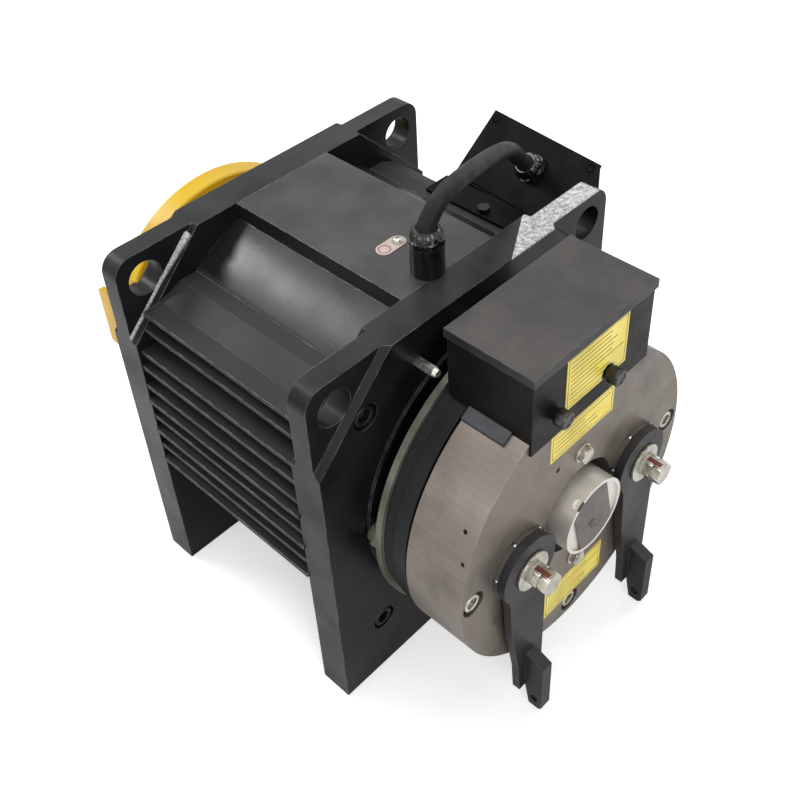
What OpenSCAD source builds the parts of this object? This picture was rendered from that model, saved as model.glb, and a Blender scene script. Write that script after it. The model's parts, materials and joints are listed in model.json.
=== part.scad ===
// Gearless elevator traction machine: a permanent-magnet motor between two
// thick end plates, a rope sheave on the far end and a spring-applied disc
// brake with two hand-release levers on the near end.
// Millimetres, +Z up. The shaft runs along Y; the brake end faces -Y.

/* [Frame] */
// width of both end plates across the feet
plate_w = 440; // [400:1:480]
// height of both end plates from foot to flat top
plate_h = 458; // [440:1:500]
// thickness of each end plate
plate_t = 39; // [34:1:46]
// clear distance between the two end plates
plate_gap = 246; // [220:1:300]
// leg length of the thinned triangular corner zones
corner_leg = 102; // [92:1:108]
// depth each face is stepped back in a corner zone
corner_step = 7.5; // [4:0.5:9]
// radius of the upper plate corners
corner_r = 21; // [12:1:28]
// radius of the lifting hole in each upper corner
lift_r = 20; // [14:0.5:21]
// lifting hole distance in from the plate side and down from the top
lift_in = 33.5; // [30:0.5:36]
// height of the shaft axis above the feet
shaft_h = 238; // [230:1:250]
// distance of the tie screws from the shaft axis, in x and in z
tie_off = 157; // [152:1:160]
// radius of the tapped holes under the feet
foot_hole_r = 8.75; // [6:0.25:10]
// distance of the foot holes from the middle plane
foot_hole_x = 180; // [150:1:195]
// depth of the foot holes
foot_hole_depth = 40; // [30:1:50]

/* [Stator] */
// outer radius of the stator shell
shell_r = 186; // [182:1:190]
// radius of the shell's crown between the side ledges
crown_r = 211; // [204:1:213]
// bore of the stator shell, where the core sits
shell_bore_r = 166; // [160:1:168]
// half width of the flat top rail
rail_half_w = 66; // [56:1:76]
// height above the shaft of the side ledges
ledge_h = 166; // [155:1:168]
// distance of the ledge edge from the middle plane
ledge_x = 151; // [146:1:154]
// pairs of cooling fins on each side
fin_pairs = 5; // [3:1:5]
// height of the lowest fin above the shaft axis
fin_low = -55; // [-70:1:-55]
// height step from one pair of fins to the next
pair_pitch = 46.2; // [42:0.1:46.6]
// height step between the two fins of a pair
pair_step = 19.6; // [16:0.1:22]
// thickness of one fin
fin_t = 5; // [3:0.5:7]
// distance of the longest fin tips from the middle plane
fin_tip = 222; // [210:1:224]
// amount the upper fin of a pair is shorter
fin_short = 3; // [0:0.5:8]
// radial air gap between the magnets and the stator core
air_gap = 1.2; // [0.8:0.1:2]
// stator slots
slots = 24; // [18:6:30]
// length of the stator core and the magnets
core_len = 150; // [120:2:160]

/* [Shaft] */
// shaft radius between the end plates
shaft_r = 55; // [50:1:58]
// near bearing bore radius
near_brg_r = 42.5; // [42.5:0.5:42.5]
// far bearing bore radius
far_brg_r = 45; // [45:0.5:45]
// radius of the sheave's outer flange
sheave_r = 156; // [152:1:166]
// width of the sheave's outer flange
sheave_w = 28; // [20:1:32]
// distance from the far plate to the sheave
sheave_gap = 39; // [34:1:50]

/* [Brake] */
// free distance between the near plate and the friction flange
spacer_len = 21; // [16:0.5:26]
// friction flange thickness
flange_t = 7; // [5:0.5:9]
// outer radius of the friction flange
flange_r = 178; // [176:1:180]
// friction disc thickness with both linings
disc_t = 14; // [12:0.5:18]
// running clearance on each side of the friction disc
disc_clear = 0.4; // [0.3:0.1:0.8]
// armature plate thickness
arm_t = 17; // [14:0.5:20]
// gap between the armature plate and the magnet body
magnet_gap = 4.2; // [3.6:0.1:6]
// radius of the magnet body
mag_r = 179; // [178:1:182]
// length of the magnet body
mag_t = 71; // [64:1:84]
// bore through the magnet body
mag_bore_r = 56; // [52:1:60]
// distance of each release stud from the shaft axis
stud_x = 93.5; // [90:0.5:96]
// radius of the release studs
stud_r = 8; // [6:0.5:8]
// radius of the shaft end cap
cap_r = 44.5; // [40:0.5:48]
// how far the shaft end cap stands out of the brake face
cap_out = 21; // [14:1:30]

/* [Levers] */
// lever head radius
lever_head_r = 39; // [34:0.5:40]
// lever plate thickness
lever_t = 9.5; // [7:0.5:12]
// distance from the lever pivot down to the end of its bar
lever_len = 200; // [170:1:215]
// release tab length below its upper edge
tab_len = 86; // [70:1:92]

/* [Brake box] */
// width of the brake cover box
box_w = 180; // [160:1:200]
// height of the cover box top above the crown of the magnet body
box_rise = 62; // [54:1:70]
// depth of the cover box
box_d = 100; // [90:1:110]
// sheet thickness of the boxes
sheet = 2; // [1.5:0.25:3]

/* [Terminal box] */
// length of the terminal box along the shaft
tb_len = 168; // [150:1:180]
// width of the sloping lid
tb_slope_w = 88; // [80:1:96]
// angle of the sloping lid above level
tb_slope = 41; // [35:1:45]
// angle the box is set askew about the vertical
tb_yaw = 5.7; // [0:0.1:6.5]
// radius of the cable
cable_r = 9.5; // [7:0.5:10]

/* [Output] */

/* [Hidden] */
$fn = 96;

// gap of a press or screwed fit inside one body
fit = 0.02;
// gap between curved faces of different bodies
free = 0.3;

in_y = plate_gap/2;
out_y = in_y + plate_t;
half_w = plate_w/2;
lift_x = half_w - lift_in;
lift_z = plate_h - lift_in;
boss_t = 3;
boss_r = 168;

// machine frame screws: socket heads in counterbores
tie_r = 8;
tie_head = [12, 16];
tie_bore = [15, 17];
lug_len = 35;
ring_screw_r = 5;
ring_screw_pcr = 176;
ring_head = [8, 10];
ring_bore = [9, 11];
ring_angles = [15:30:345];

// bearings: outer radius, width, ball radius, ball count
near_brg_or = 75;
near_brg_w = 28;
near_ball = 9.5;
far_brg_or = 80;
far_brg_w = 30;
far_ball = 10.5;
balls = 11;
near_brg_y = -in_y - 2 - near_brg_w/2;
far_brg_y = out_y - 4 - far_brg_w/2;
cover_pcr = 92;

// motor
magnet_or = 120;
magnets = 20;
core_ir = magnet_or + air_gap;
slot_bot = core_ir + 26;

// brake stack, worked out from the near plate along -Y
y_boss = -out_y - boss_t;
y_fl0 = -out_y - spacer_len;
y_fl1 = y_fl0 - flange_t;
y_dk0 = y_fl1 - disc_clear;
y_dk1 = y_dk0 - disc_t;
y_ar0 = y_dk1 - disc_clear;
y_ar1 = y_ar0 - arm_t;
y_mg0 = y_ar1 - magnet_gap;
y_mg1 = y_mg0 - mag_t;
y_cap = y_mg1 - cap_out;
disc_r = 148;
hub_r = 50;
brake_r = 7;
sleeve_r = 9.6;
spring_pcr = 84;
spring_hole_r = 12;
spring_hole_d = 40;
coil_r = [108, 142];
coil_d = 42;
face_screw_off = 80;
brake_angles = [0:90:270];

// release stack on the brake face
ring_t = 5.6;
ball_r = 2.8;
ball_pcr = 37.6;
y_lv0 = y_mg1 - ring_t - 0.4;
y_lv1 = y_lv0 - lever_t;
wash_t = 3;
y_ws0 = y_lv1 - free;
y_ws1 = y_ws0 - wash_t;
nut_t = 12.7;
y_nut1 = y_ws1 - nut_t;
head_t = 11;
tab_w = 14.5;
tab_out = 23;

// sheave
shv_y0 = out_y + sheave_gap;
shv_y1 = shv_y0 + 34;
barrel_r = sheave_r - 10;
flange_y1 = shv_y0 + 84;
flange_y0 = flange_y1 - sheave_w;
hub_y1 = shv_y1 + 27;
groove_r = 4.2;
groove_pitch = 12;
seat_r = 40;

// brake screws and cover box
brake_screw_r = mag_r - 18;
box_x = 5;
box_y1 = y_mg1 - 0.5 - sheet;
box_z1 = shaft_h + mag_r + box_rise;
box_half = box_w/2;
thumbs = [[-53, mag_r - 3], [27, mag_r - 8]];
deck_t = 3;
deck_z = shaft_h + mag_r + 5;
foot_w = 20;
rectifier = [70, 34, 24];
thumb_r = 9;
thumb_len = 16;
thumb_shank = 2.5;

// items on the rail
clip_x = -87;
rail_gland = [-16, -in_y + 12];
earth_pos = [-21, -in_y + 67];

// terminal box: near upper corner of the lid
tb_pos = [half_w + 34, -in_y + 2, shaft_h + ledge_h + 47];
tb_gland = [-41, 75];
tb_side = 40;
lid_t = 4;
tb_low = -tb_slope_w*sin(tb_slope) - tb_side;
tb_left = -tb_slope_w*cos(tb_slope);
shelf_z = tb_pos[2] + tb_low;

// cable glands: free height of each body below its nut
rail_stem = 34;
box_stem = 4;
nut_h = 18;
gland_base_r = 17.5;
port_r = 12;

// centre line of the cable from gland to gland
// cable bends: share of the way from the rail gland to the box gland, then the offset from that line
bends = [[0, 0, 0, 2], [0, 0, 0, 34], [0, 0, 0, 52], [0, 5.8, -1.2, 63.1],
  [0.05, 0.6, -5.8, 74.4], [0.1, -0.8, -9.6, 82.7], [0.15, 4.1, -10.9, 86.4],
  [0.25, 4.2, -11.5, 86.1], [0.4, -1.2, -11.5, 82], [0.55, -2.5, -8.8, 74.4], [0.7, -3.4, -3.2, 61.1],
  [0.8, 0.4, 4.1, 44.5], [1, -26.2, 2.6, 30.3], [1, -13.1, 1.3, 15.1], [1, 0, 0, 0]];
route_ends = [[rail_gland[0], rail_gland[1], plate_h], tb_pos + [-24.7, 77.8, -25.4]];
route = [for (b = bends) (1 - b[0])*route_ends[0] + b[0]*route_ends[1] + [b[1], b[2], b[3]]];
route_side = [-0.28, 0.96, 0];
cable_sides = 12;
cable_steps = 4;

function tip(i) = fin_tip - 4*max(0, i - 2)*max(0, i - 2);
function unit(v) = v/norm(v);
// Catmull-Rom point at t between route points i and i + 1
function spot(p, i, t) = let(a = p[max(i - 1, 0)], b = p[i], c = p[i + 1], d = p[min(i + 2, len(p) - 1)])
  b + t*(c - a)/2 + t*t*(a - 2.5*b + 2*c - d/2) + t*t*t*(1.5*(b - c) + (d - a)/2);
function along(p) = [for (i = [0:len(p) - 2], k = [0:cable_steps - 1]) spot(p, i, k/cable_steps),
  p[len(p) - 1]];
function heading(q, i) = unit(q[min(i + 1, len(q) - 1)] - q[max(i - 1, 0)]);
function ring(q, i, r) = let(t = heading(q, i), b = unit(cross(t, route_side)), s = cross(b, t))
  [for (k = [0:cable_sides - 1]) q[i] + r*(cos(k*360/cable_sides)*b + sin(k*360/cable_sides)*s)];

module yrod(r, y0, y1) { translate([0, y0, 0]) rotate([-90, 0, 0]) cylinder(r = r, h = y1 - y0); }
module ycone(r0, r1, y0, y1) {
  translate([0, y0, 0]) rotate([-90, 0, 0]) cylinder(r1 = r0, r2 = r1, h = y1 - y0);
}
module yhex(af, y0, y1) {
  translate([0, y0, 0]) rotate([-90, 0, 0]) cylinder(r = af/sqrt(3), h = y1 - y0, $fn = 6);
}
module ytube(ro, ri, y0, y1) {
  difference() {
    yrod(ro, y0, y1);
    yrod(ri, y0 - 1, y1 + 1);
  }
}
// outline in x and z made into a slab from y0 to y1
module yprism(y0, y1) {
  translate([0, y1, 0]) rotate([90, 0, 0]) linear_extrude(height = y1 - y0) children();
}
module at_shaft() { translate([0, 0, shaft_h]) children(); }
// copies round the shaft at polar angle a, counted up from +X
module around(angles, r) {
  for (a = angles) rotate([0, -a, 0]) translate([r, 0, 0]) rotate([0, a, 0]) children();
}
module both_sides() { for (m = [0, 1]) mirror([m, 0, 0]) children(); }
module corners(d) { for (x = [-1, 1], z = [-1, 1]) translate([x*d, 0, z*d]) children(); }

// socket-head screw: head top at y = 0, pointing along +Y
module socket_screw(r, head, len, socket) {
  difference() {
    union() {
      yrod(head[0], 0, head[1]);
      yrod(r, head[1] - 0.1, head[1] + len);
    }
    yhex(socket, -1, head[1]*0.55);
  }
}
// hexagon-head screw: seat at y = 0, head towards -Y, shank towards +Y
module hex_screw(r, af, head, len) {
  yhex(af, -head, 0);
  yrod(r, -0.1, len);
}

// ---- frame ----
module plate_outline() {
  translate([-half_w, 0]) square([plate_w, plate_h - corner_r]);
  translate([-half_w + corner_r, plate_h/2]) square([plate_w - 2*corner_r, plate_h/2]);
  for (x = [-1, 1]) translate([x*(half_w - corner_r), plate_h - corner_r]) circle(r = corner_r);
}
// sloped step cut beyond the left corner diagonal into a face at y = 0 with material on +Y
module corner_cut(bevel) {
  translate([-half_w + corner_leg/2, 0, plate_h - corner_leg/2]) rotate([0, -135, 0])
    linear_extrude(height = 3*corner_leg, center = true)
      polygon([[0, -1], [0, 0], [bevel, corner_step], [corner_leg, corner_step], [corner_leg, -1]]);
}
module corner_cuts(face, flip, bevel) {
  both_sides() translate([0, face, 0]) mirror([0, flip, 0]) corner_cut(bevel);
}
module plate_blank(y0, y1, bevel0, bevel1) {
  difference() {
    yprism(y0, y1) plate_outline();
    corner_cuts(y0, 0, bevel0);
    corner_cuts(y1, 1, bevel1);
    for (x = [-1, 1]) {
      translate([x*lift_x, 0, lift_z]) yrod(lift_r, y0 - 1, y1 + 1);
      translate([x*foot_hole_x, (y0 + y1)/2, -1]) cylinder(r = foot_hole_r, h = foot_hole_depth + 1);
    }
  }
}

module near_plate() {
  color([0.06, 0.06, 0.065]) difference() {
    union() {
      plate_blank(-out_y, -in_y, 5, 1);
      at_shaft() yrod(boss_r, y_boss, -out_y + 1);
    }
    at_shaft() {
      yrod(near_brg_or + fit, near_brg_y - near_brg_w/2, -in_y + 1);
      yrod(near_brg_or + 3, -in_y - 2, -in_y - 0.2);
      yrod(62, y_boss - 1, -in_y);
      corners(tie_off) {
        yrod(tie_r + 0.5, -out_y - 1, -in_y + 1);
        yrod(tie_bore[0], -out_y - 1, -out_y + tie_bore[1]);
      }
      around(brake_angles, brake_screw_r) yrod(brake_r + fit, y_boss - 1, -out_y + 24);
    }
    translate([-87, 0, plate_h - 41]) yrod(3 + fit, -out_y - 1, -out_y + 14);
  }
}

module far_plate() {
  color([0.06, 0.06, 0.065]) difference() {
    plate_blank(in_y, out_y, 1, 1);
    at_shaft() {
      yrod(far_brg_or + fit, far_brg_y - far_brg_w/2, out_y + 1);
      yrod(66, in_y - 1, out_y);
      around(ring_angles, ring_screw_pcr) {
        yrod(ring_screw_r + 0.5, in_y - 1, out_y + 1);
        yrod(ring_bore[0], out_y - ring_bore[1], out_y + 1);
      }
      around([30:60:330], cover_pcr) yrod(4 + fit, out_y - 16, out_y + 1);
      for (z = guard_holes) translate([guard_x, 0, z]) yrod(4 + fit, out_y - 18, out_y + 1);
    }
  }
}
guard_x = -half_w + 24;
guard_z = [88, 162];
guard_holes = [guard_z[0] + 14, guard_z[1] - 14];
guard_t = 5;
guard_reach = 22.5;

module fins(last) {
  for (i = [0:fin_pairs - 1], j = [0, 1])
    let(t = min(tip(i) - j*fin_short, i < 4 ? fin_tip : last), z = fin_low + i*pair_pitch + j*pair_step)
      translate([-t, -in_y, z]) cube([t - 60, plate_gap, fin_t]);
}
module ledge_flank(reach) {
  drop = (reach - ledge_x)*0.4;
  yprism(-in_y, in_y) polygon([[-60, ledge_h], [-ledge_x, ledge_h], [-reach, ledge_h - drop],
    [-reach, ledge_h - 16], [-60, ledge_h - 16]]);
}
module stator_shell() {
  ledge_t = 14;
  rail_low = shaft_h + shell_bore_r - 20;
  color([0.16, 0.165, 0.17]) difference() {
    union() {
      at_shaft() {
        yrod(shell_r, -in_y, in_y);
        intersection() {
          yrod(crown_r, -in_y, in_y);
          cube([2*ledge_x - 39, plate_gap, 3*crown_r], center = true);
        }
        fins(fin_tip);
        mirror([1, 0, 0]) fins(bracket_x - 2);
        ledge_flank(ledge_x + 30);
        mirror([1, 0, 0]) ledge_flank(bracket_x - 2);
        both_sides() {
          for (z = [ledge_h - ledge_t, -ledge_h])
            translate([-ledge_x, -in_y, z]) cube([ledge_x - 60, plate_gap, ledge_t]);
          for (z = [ledge_h - 24, -ledge_h - 6]) translate([-tie_off - 15, -in_y, z]) cube([46, lug_len, 30]);
        }
      }
      translate([-rail_half_w, -in_y, rail_low]) cube([2*rail_half_w, plate_gap, plate_h - rail_low]);
    }
    at_shaft() {
      yrod(shell_bore_r, -in_y - 1, in_y + 1);
      corners(tie_off) yrod(tie_r + fit, -in_y - 1, -in_y + lug_len - 3);
      around(ring_angles, ring_screw_pcr) yrod(ring_screw_r + fit, in_y - 28, in_y + 1);
    }
    translate([rail_gland[0], rail_gland[1], shaft_h]) cylinder(r = port_r + fit, h = plate_h);
    translate([earth_pos[0] + 19, earth_pos[1], plate_h - 14]) cylinder(r = 2.5 + fit, h = 20);
    for (y = bracket_y) translate([ledge_x - 1.5, y, shaft_h + ledge_h - 12]) cylinder(r = 4 + fit, h = 20);
  }
}
bracket_x = half_w - 48;
bracket_y = [-40, 20];

module stator_core() {
  color([0.35, 0.36, 0.38]) at_shaft() difference() {
    yrod(shell_bore_r - fit, -core_len/2, core_len/2);
    yrod(core_ir, -core_len, core_len);
    for (k = [0:slots - 1]) rotate([0, k*360/slots, 0]) {
      translate([core_ir - 4, -core_len, -2]) cube([8, 2*core_len, 4]);
      translate([core_ir + 2.5, -core_len, -7.2]) cube([slot_bot - core_ir - 2.5, 2*core_len, 14.4]);
    }
  }
}
module stator_windings() {
  color([0.62, 0.33, 0.14]) at_shaft() {
    for (s = [0, 1]) mirror([0, s, 0]) translate([0, core_len/2, 0]) rotate([-90, 0, 0]) rotate_extrude()
      polygon([[core_ir + 3, 1], [slot_bot - 0.5, 1], [slot_bot - 0.5, 20], [slot_bot - 5, 25],
        [core_ir + 8, 25], [core_ir + 3, 20]]);
    for (k = [0:slots - 1]) rotate([0, k*360/slots, 0])
      translate([core_ir + 3, -core_len/2 - 2, -6.7]) cube([slot_bot - core_ir - 3.5, core_len + 4, 13.4]);
  }
}
module tie_screws() {
  color([0.1, 0.1, 0.11]) at_shaft() corners(tie_off) translate([0, -out_y + tie_bore[1] - tie_head[1], 0])
    socket_screw(tie_r, tie_head, plate_t - tie_bore[1] + lug_len - 5, 14);
}
module far_frame_screws() {
  color([0.12, 0.12, 0.13]) at_shaft() around(ring_angles, ring_screw_pcr)
    translate([0, out_y - ring_bore[1] + ring_head[1], 0]) mirror([0, 1, 0])
      socket_screw(ring_screw_r, ring_head, plate_t - ring_bore[1] + 24, 8);
}

// ---- bearings ----
near_mid = (near_brg_r + near_brg_or)/2;
far_mid = (far_brg_r + far_brg_or)/2;
module race(r0, r1, mid_r, ball, w, y) {
  translate([0, y, 0]) rotate([-90, 0, 0]) rotate_extrude() difference() {
    translate([r0, -w/2]) square([r1 - r0, w]);
    translate([mid_r, 0]) circle(r = ball + 0.03);
  }
}
module ball_set(mid_r, ball, y) {
  around([for (k = [0:balls - 1]) k*360/balls], mid_r) translate([0, y, 0]) sphere(r = ball);
}
module bearing_outer_rings() {
  color([0.72, 0.73, 0.75]) at_shaft() {
    race(near_mid + near_ball*0.45, near_brg_or, near_mid, near_ball, near_brg_w, near_brg_y);
    race(far_mid + far_ball*0.45, far_brg_or, far_mid, far_ball, far_brg_w, far_brg_y);
  }
}
module bearing_inner_rings() {
  color([0.72, 0.73, 0.75]) at_shaft() {
    race(near_brg_r, near_mid - near_ball*0.45, near_mid, near_ball, near_brg_w, near_brg_y);
    race(far_brg_r, far_mid - far_ball*0.45, far_mid, far_ball, far_brg_w, far_brg_y);
  }
}
module bearing_balls() {
  color([0.85, 0.86, 0.88]) at_shaft() {
    ball_set(near_mid, near_ball, near_brg_y);
    ball_set(far_mid, far_ball, far_brg_y);
  }
}
module near_circlip() {
  color([0.25, 0.26, 0.28]) at_shaft() difference() {
    ytube(near_brg_or + 2.9, 67, -in_y - 2, -in_y - 0.2);
    translate([0, -in_y, -near_brg_or]) cube([16, 20, 30], center = true);
  }
}
module far_bearing_cover() {
  color([0.07, 0.07, 0.075]) at_shaft() difference() {
    union() {
      yrod(102, out_y, out_y + 11);
      yrod(far_brg_or - 0.1, out_y - 4, out_y + 1);
    }
    yrod(46, out_y - 10, out_y + 20);
    yrod(70, out_y - 10, out_y + 3);
    around([30:60:330], cover_pcr) yrod(4.5, out_y - 1, out_y + 20);
  }
}
module far_cover_screws() {
  color([0.7, 0.7, 0.72]) at_shaft() around([30:60:330], cover_pcr)
    translate([0, out_y + 19, 0]) mirror([0, 1, 0])
    socket_screw(4, [6.5, 8], 25, 6);
}

// ---- rail items ----
module earth_tag() {
  translate([earth_pos[0], earth_pos[1], plate_h]) {
    color([0.86, 0.72, 0.7]) difference() {
      linear_extrude(height = 1) union() {
        circle(r = 9);
        translate([19, 0]) circle(r = 9);
        translate([0, -9]) square([19, 18]);
      }
      translate([19, 0, -1]) cylinder(r = 2.8, h = 4);
    }
    color([0.78, 0.79, 0.8]) translate([19, 0, 1]) difference() {
      union() {
        cylinder(r = 6.5, h = 1.2);
        translate([0, 0, 1.1]) cylinder(r1 = 5.2, r2 = 4, h = 3);
        translate([0, 0, -12]) cylinder(r = 2.5, h = 13);
      }
      for (a = [0, 90]) rotate([0, 0, a]) translate([-3, -0.5, 2.4]) cube([6, 1, 3]);
    }
  }
}
module clip_post() {
  color([0.72, 0.72, 0.7]) translate([clip_x, -out_y, plate_h - 41]) difference() {
    union() {
      yhex(10, -23, 0);
      yrod(3, -1, 12);
      ycone(4, 5.2, -27, -23);
    }
    for (a = [0, 90]) rotate([0, a, 0]) translate([-3, -28, -0.5]) cube([6, 3, 1]);
  }
}

// gland with its seat at z = 0, leaving along +Z
module gland_body(stem) {
  difference() {
    union() {
      cylinder(r = gland_base_r, h = stem);
      cylinder(r = 13, h = stem + 12);
      translate([0, 0, -10]) cylinder(r = port_r, h = 11);
    }
    translate([0, 0, -11]) cylinder(r = cable_r - 2.5, h = 20);
    translate([0, 0, 2]) cylinder(r = cable_r + 0.35, h = 80);
  }
}
module gland_nut(stem) {
  difference() {
    union() {
      translate([0, 0, stem + 0.2]) cylinder(r = 19, h = 8, $fn = 6);
      translate([0, 0, stem + 0.2]) cylinder(r = 17, h = 11);
      translate([0, 0, stem + 11]) cylinder(r1 = 17, r2 = 13.5, h = nut_h - 11);
    }
    translate([0, 0, stem - 1]) cylinder(r = 13 + fit, h = 13);
    translate([0, 0, stem - 1]) cylinder(r = cable_r + 0.6, h = 40);
  }
}
module at_rail_gland() { translate([rail_gland[0], rail_gland[1], plate_h]) children(); }
// terminal box frame: x outwards, y along the box, origin at the near upper corner
module at_box() { translate(tb_pos) rotate([0, 0, -tb_yaw]) children(); }
// lid frame: -x down the slope, z out of the lid
module at_lid() { at_box() rotate([0, -tb_slope, 0]) children(); }
module at_box_gland() { at_lid() translate([tb_gland[0], tb_gland[1], 0]) children(); }
module gland_bodies() {
  color([0.05, 0.05, 0.052]) {
    at_rail_gland() gland_body(rail_stem);
    at_box_gland() gland_body(box_stem);
  }
}
module gland_nuts() {
  color([0.05, 0.05, 0.052]) {
    at_rail_gland() gland_nut(rail_stem);
    at_box_gland() gland_nut(box_stem);
  }
}
module cable() {
  path = along(route);
  last = len(path) - 1;
  color([0.09, 0.09, 0.09]) polyhedron(
    points = [for (i = [0:last]) each ring(path, i, cable_r - 0.1)],
    faces = [
      [for (k = [0:cable_sides - 1]) k],
      for (i = [0:last - 1], k = [0:cable_sides - 1]) let(a = i*cable_sides, n = (k + 1)%cable_sides)
        [a + n, a + k, a + cable_sides + k, a + cable_sides + n],
      [for (k = [cable_sides - 1:-1:0]) last*cable_sides + k]]);
}

// ---- terminal box ----
// box section with wall w taken off
module tb_section(w) {
  polygon([[-w, -w], [tb_left + w, tb_low + tb_side - w], [tb_left + w, tb_low + w], [-w, tb_low + w]]);
}
module above_lid(z) {
  rotate([0, -tb_slope, 0]) translate([-2*tb_slope_w, -10, z]) cube([4*tb_slope_w, tb_len + 20, tb_slope_w]);
}
module lid_corners() {
  for (x = [-9, -tb_slope_w + 9], y = [9, tb_len - 9]) translate([x, y, 0]) children();
}
module terminal_box() {
  color([0.045, 0.045, 0.05]) at_box() difference() {
    union() {
      difference() {
        yprism(0, tb_len) tb_section(0);
        yprism(2.5, tb_len - 2.5) tb_section(2.5);
      }
      intersection() {
        yprism(0.5, tb_len - 0.5) tb_section(0.5);
        rotate([0, -tb_slope, 0]) lid_corners() translate([0, 0, -22]) cylinder(r = 7, h = 30);
      }
    }
    above_lid(-lid_t);
    rotate([0, -tb_slope, 0]) lid_corners() translate([0, 0, -20]) cylinder(r = 2.5 + fit, h = 30);
  }
}
module terminal_lid() {
  color([0.045, 0.045, 0.05]) at_lid() difference() {
    translate([-tb_slope_w, 0, -lid_t]) cube([tb_slope_w, tb_len, lid_t]);
    lid_corners() {
      translate([0, 0, -lid_t - 1]) cylinder(r = 3, h = 10);
      translate([0, 0, -2]) cylinder(r = 5.5, h = 10);
    }
    translate([tb_gland[0], tb_gland[1], -10]) cylinder(r = port_r + fit, h = 20);
  }
}
module terminal_lid_screws() {
  color([0.12, 0.12, 0.12]) at_lid() lid_corners() difference() {
    union() {
      translate([0, 0, -2]) cylinder(r1 = 5, r2 = 4, h = 2.6);
      translate([0, 0, -18]) cylinder(r = 2.5, h = 17);
    }
    translate([-3, -0.5, -0.6]) cube([6, 1, 3]);
  }
}
module terminal_block() {
  color([0.55, 0.55, 0.5]) at_box() translate([-50, 40, tb_low + 2.5]) difference() {
    cube([34, 96, 22]);
    for (k = [0:5]) translate([-1, 6 + 15*k, 12]) cube([40, 9, 20]);
  }
}
module terminal_bracket() {
  lip_z = shaft_h + ledge_h;
  t = 4;
  color([0.06, 0.06, 0.065]) difference() {
    union() {
      translate([bracket_x, -60, shelf_z - t]) cube([60, 100, t]);
      translate([bracket_x, -60, shelf_z - t]) cube([t, 100, lip_z + t - shelf_z + t]);
      translate([ledge_x - 11, -in_y + lug_len + 2, lip_z]) cube([bracket_x - ledge_x + 11 + t, 126, t]);
    }
    for (y = bracket_y) translate([ledge_x - 1.5, y, lip_z - 1]) cylinder(r = 4.5, h = 10);
  }
}
module bracket_screws() {
  color([0.72, 0.72, 0.7]) {
    for (y = bracket_y)
      translate([ledge_x - 1.5, y, shaft_h + ledge_h + 4]) rotate([-90, 0, 0]) hex_screw(4, 13, 5.3, 14);
    at_shaft() for (z = guard_holes)
      translate([guard_x, out_y + guard_t, z]) mirror([0, 1, 0]) hex_screw(4, 13, 5.3, 20);
  }
}

// ---- rope guard ----
module rope_guard() {
  color([0.93, 0.72, 0.05]) at_shaft() difference() {
    union() {
      translate([-half_w + 5, out_y, guard_z[0]]) cube([32, guard_t, guard_z[1] - guard_z[0]]);
      hull() for (z = [guard_z[0] + 4, guard_z[1] - 4]) {
        translate([-half_w + 5, out_y + guard_reach - 4, z]) rotate([0, 90, 0]) cylinder(r = 4, h = 6);
        translate([-half_w + 5, out_y, z - 4]) cube([6, 1, 8]);
      }
    }
    for (z = guard_holes) translate([guard_x, 0, z]) yrod(4.5, out_y - 1, out_y + 10);
  }
}
// ---- brake, held to the frame ----
module brake_spacers() {
  color([0.75, 0.74, 0.68]) at_shaft() around(brake_angles, brake_screw_r) {
    difference() {
      union() {
        yhex(27, y_fl0, y_fl0 + 9);
        yrod(11, y_fl0 + 8, y_boss);
      }
      yrod(brake_r + 0.3, y_fl0 - 1, -out_y + 1);
    }
    ytube(sleeve_r, brake_r + 0.3, y_mg0, y_fl1);
  }
}
module brake_screws() {
  color([0.78, 0.78, 0.76]) at_shaft() around(brake_angles, brake_screw_r) translate([0, y_mg1 + 1, 0])
    socket_screw(brake_r, [10.5, 14], -out_y + 20 - y_mg1 - 15, 12);
}
module friction_flange() {
  color([0.8, 0.77, 0.66]) at_shaft() difference() {
    ytube(flange_r, 60, y_fl1, y_fl0);
    around(brake_angles, brake_screw_r) yrod(brake_r + 0.3, y_fl1 - 1, y_fl0 + 1);
  }
}
module dust_ring() {
  color([0.03, 0.03, 0.03]) at_shaft() difference() {
    ytube(mag_r - 6, disc_r + 2, y_ar0 + 0.4, y_fl1);
    around(brake_angles, brake_screw_r) yrod(sleeve_r + 0.1, y_ar0 - 1, y_fl1 + 1);
  }
}
module stud_places() { for (x = [-1, 1]) translate([x*stud_x, 0, 0]) children(); }
module magnet_body() {
  color([0.42, 0.43, 0.44]) at_shaft() difference() {
    yrod(mag_r, y_mg1, y_mg0);
    yrod(mag_bore_r, y_mg1 - 1, y_mg0 + 1);
    ytube(coil_r[1], coil_r[0], y_mg0 - coil_d, y_mg0 + 1);
    around([30:60:330], spring_pcr) yrod(spring_hole_r, y_mg0 - spring_hole_d, y_mg0 + 1);
    around(brake_angles, brake_screw_r) {
      yrod(brake_r + 0.3, y_mg1 - 1, y_mg0 + 1);
      yrod(14.5, y_mg1 - 1, y_mg1 + 15);
    }
    stud_places() yrod(stud_r + 0.5, y_mg1 - 1, y_mg0 + 1);
    for (z = [-1, 1]) translate([0, 0, z*face_screw_off]) yrod(5 + fit, y_mg1 - 1, y_mg1 + 22);
    translate([-38, 0, 85]) yrod(3, y_mg1 - 1, y_mg1 + 12);
    translate([thumbs[1][0], 0, thumbs[1][1]]) yrod(thumb_shank + fit, y_mg1 - 1, y_mg1 + 16);
    for (p = [[150, 15], [160, 7]])
      rotate([0, -p[0], 0]) translate([mag_r - 10, y_mg1 + p[1], 0]) rotate([0, 90, 0])
      cylinder(r = 2.5, h = 20);
  }
}
module brake_coil() {
  color([0.6, 0.3, 0.1]) at_shaft() ytube(coil_r[1] - fit, coil_r[0] + fit, y_mg0 - coil_d, y_mg0 - 2);
}
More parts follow.
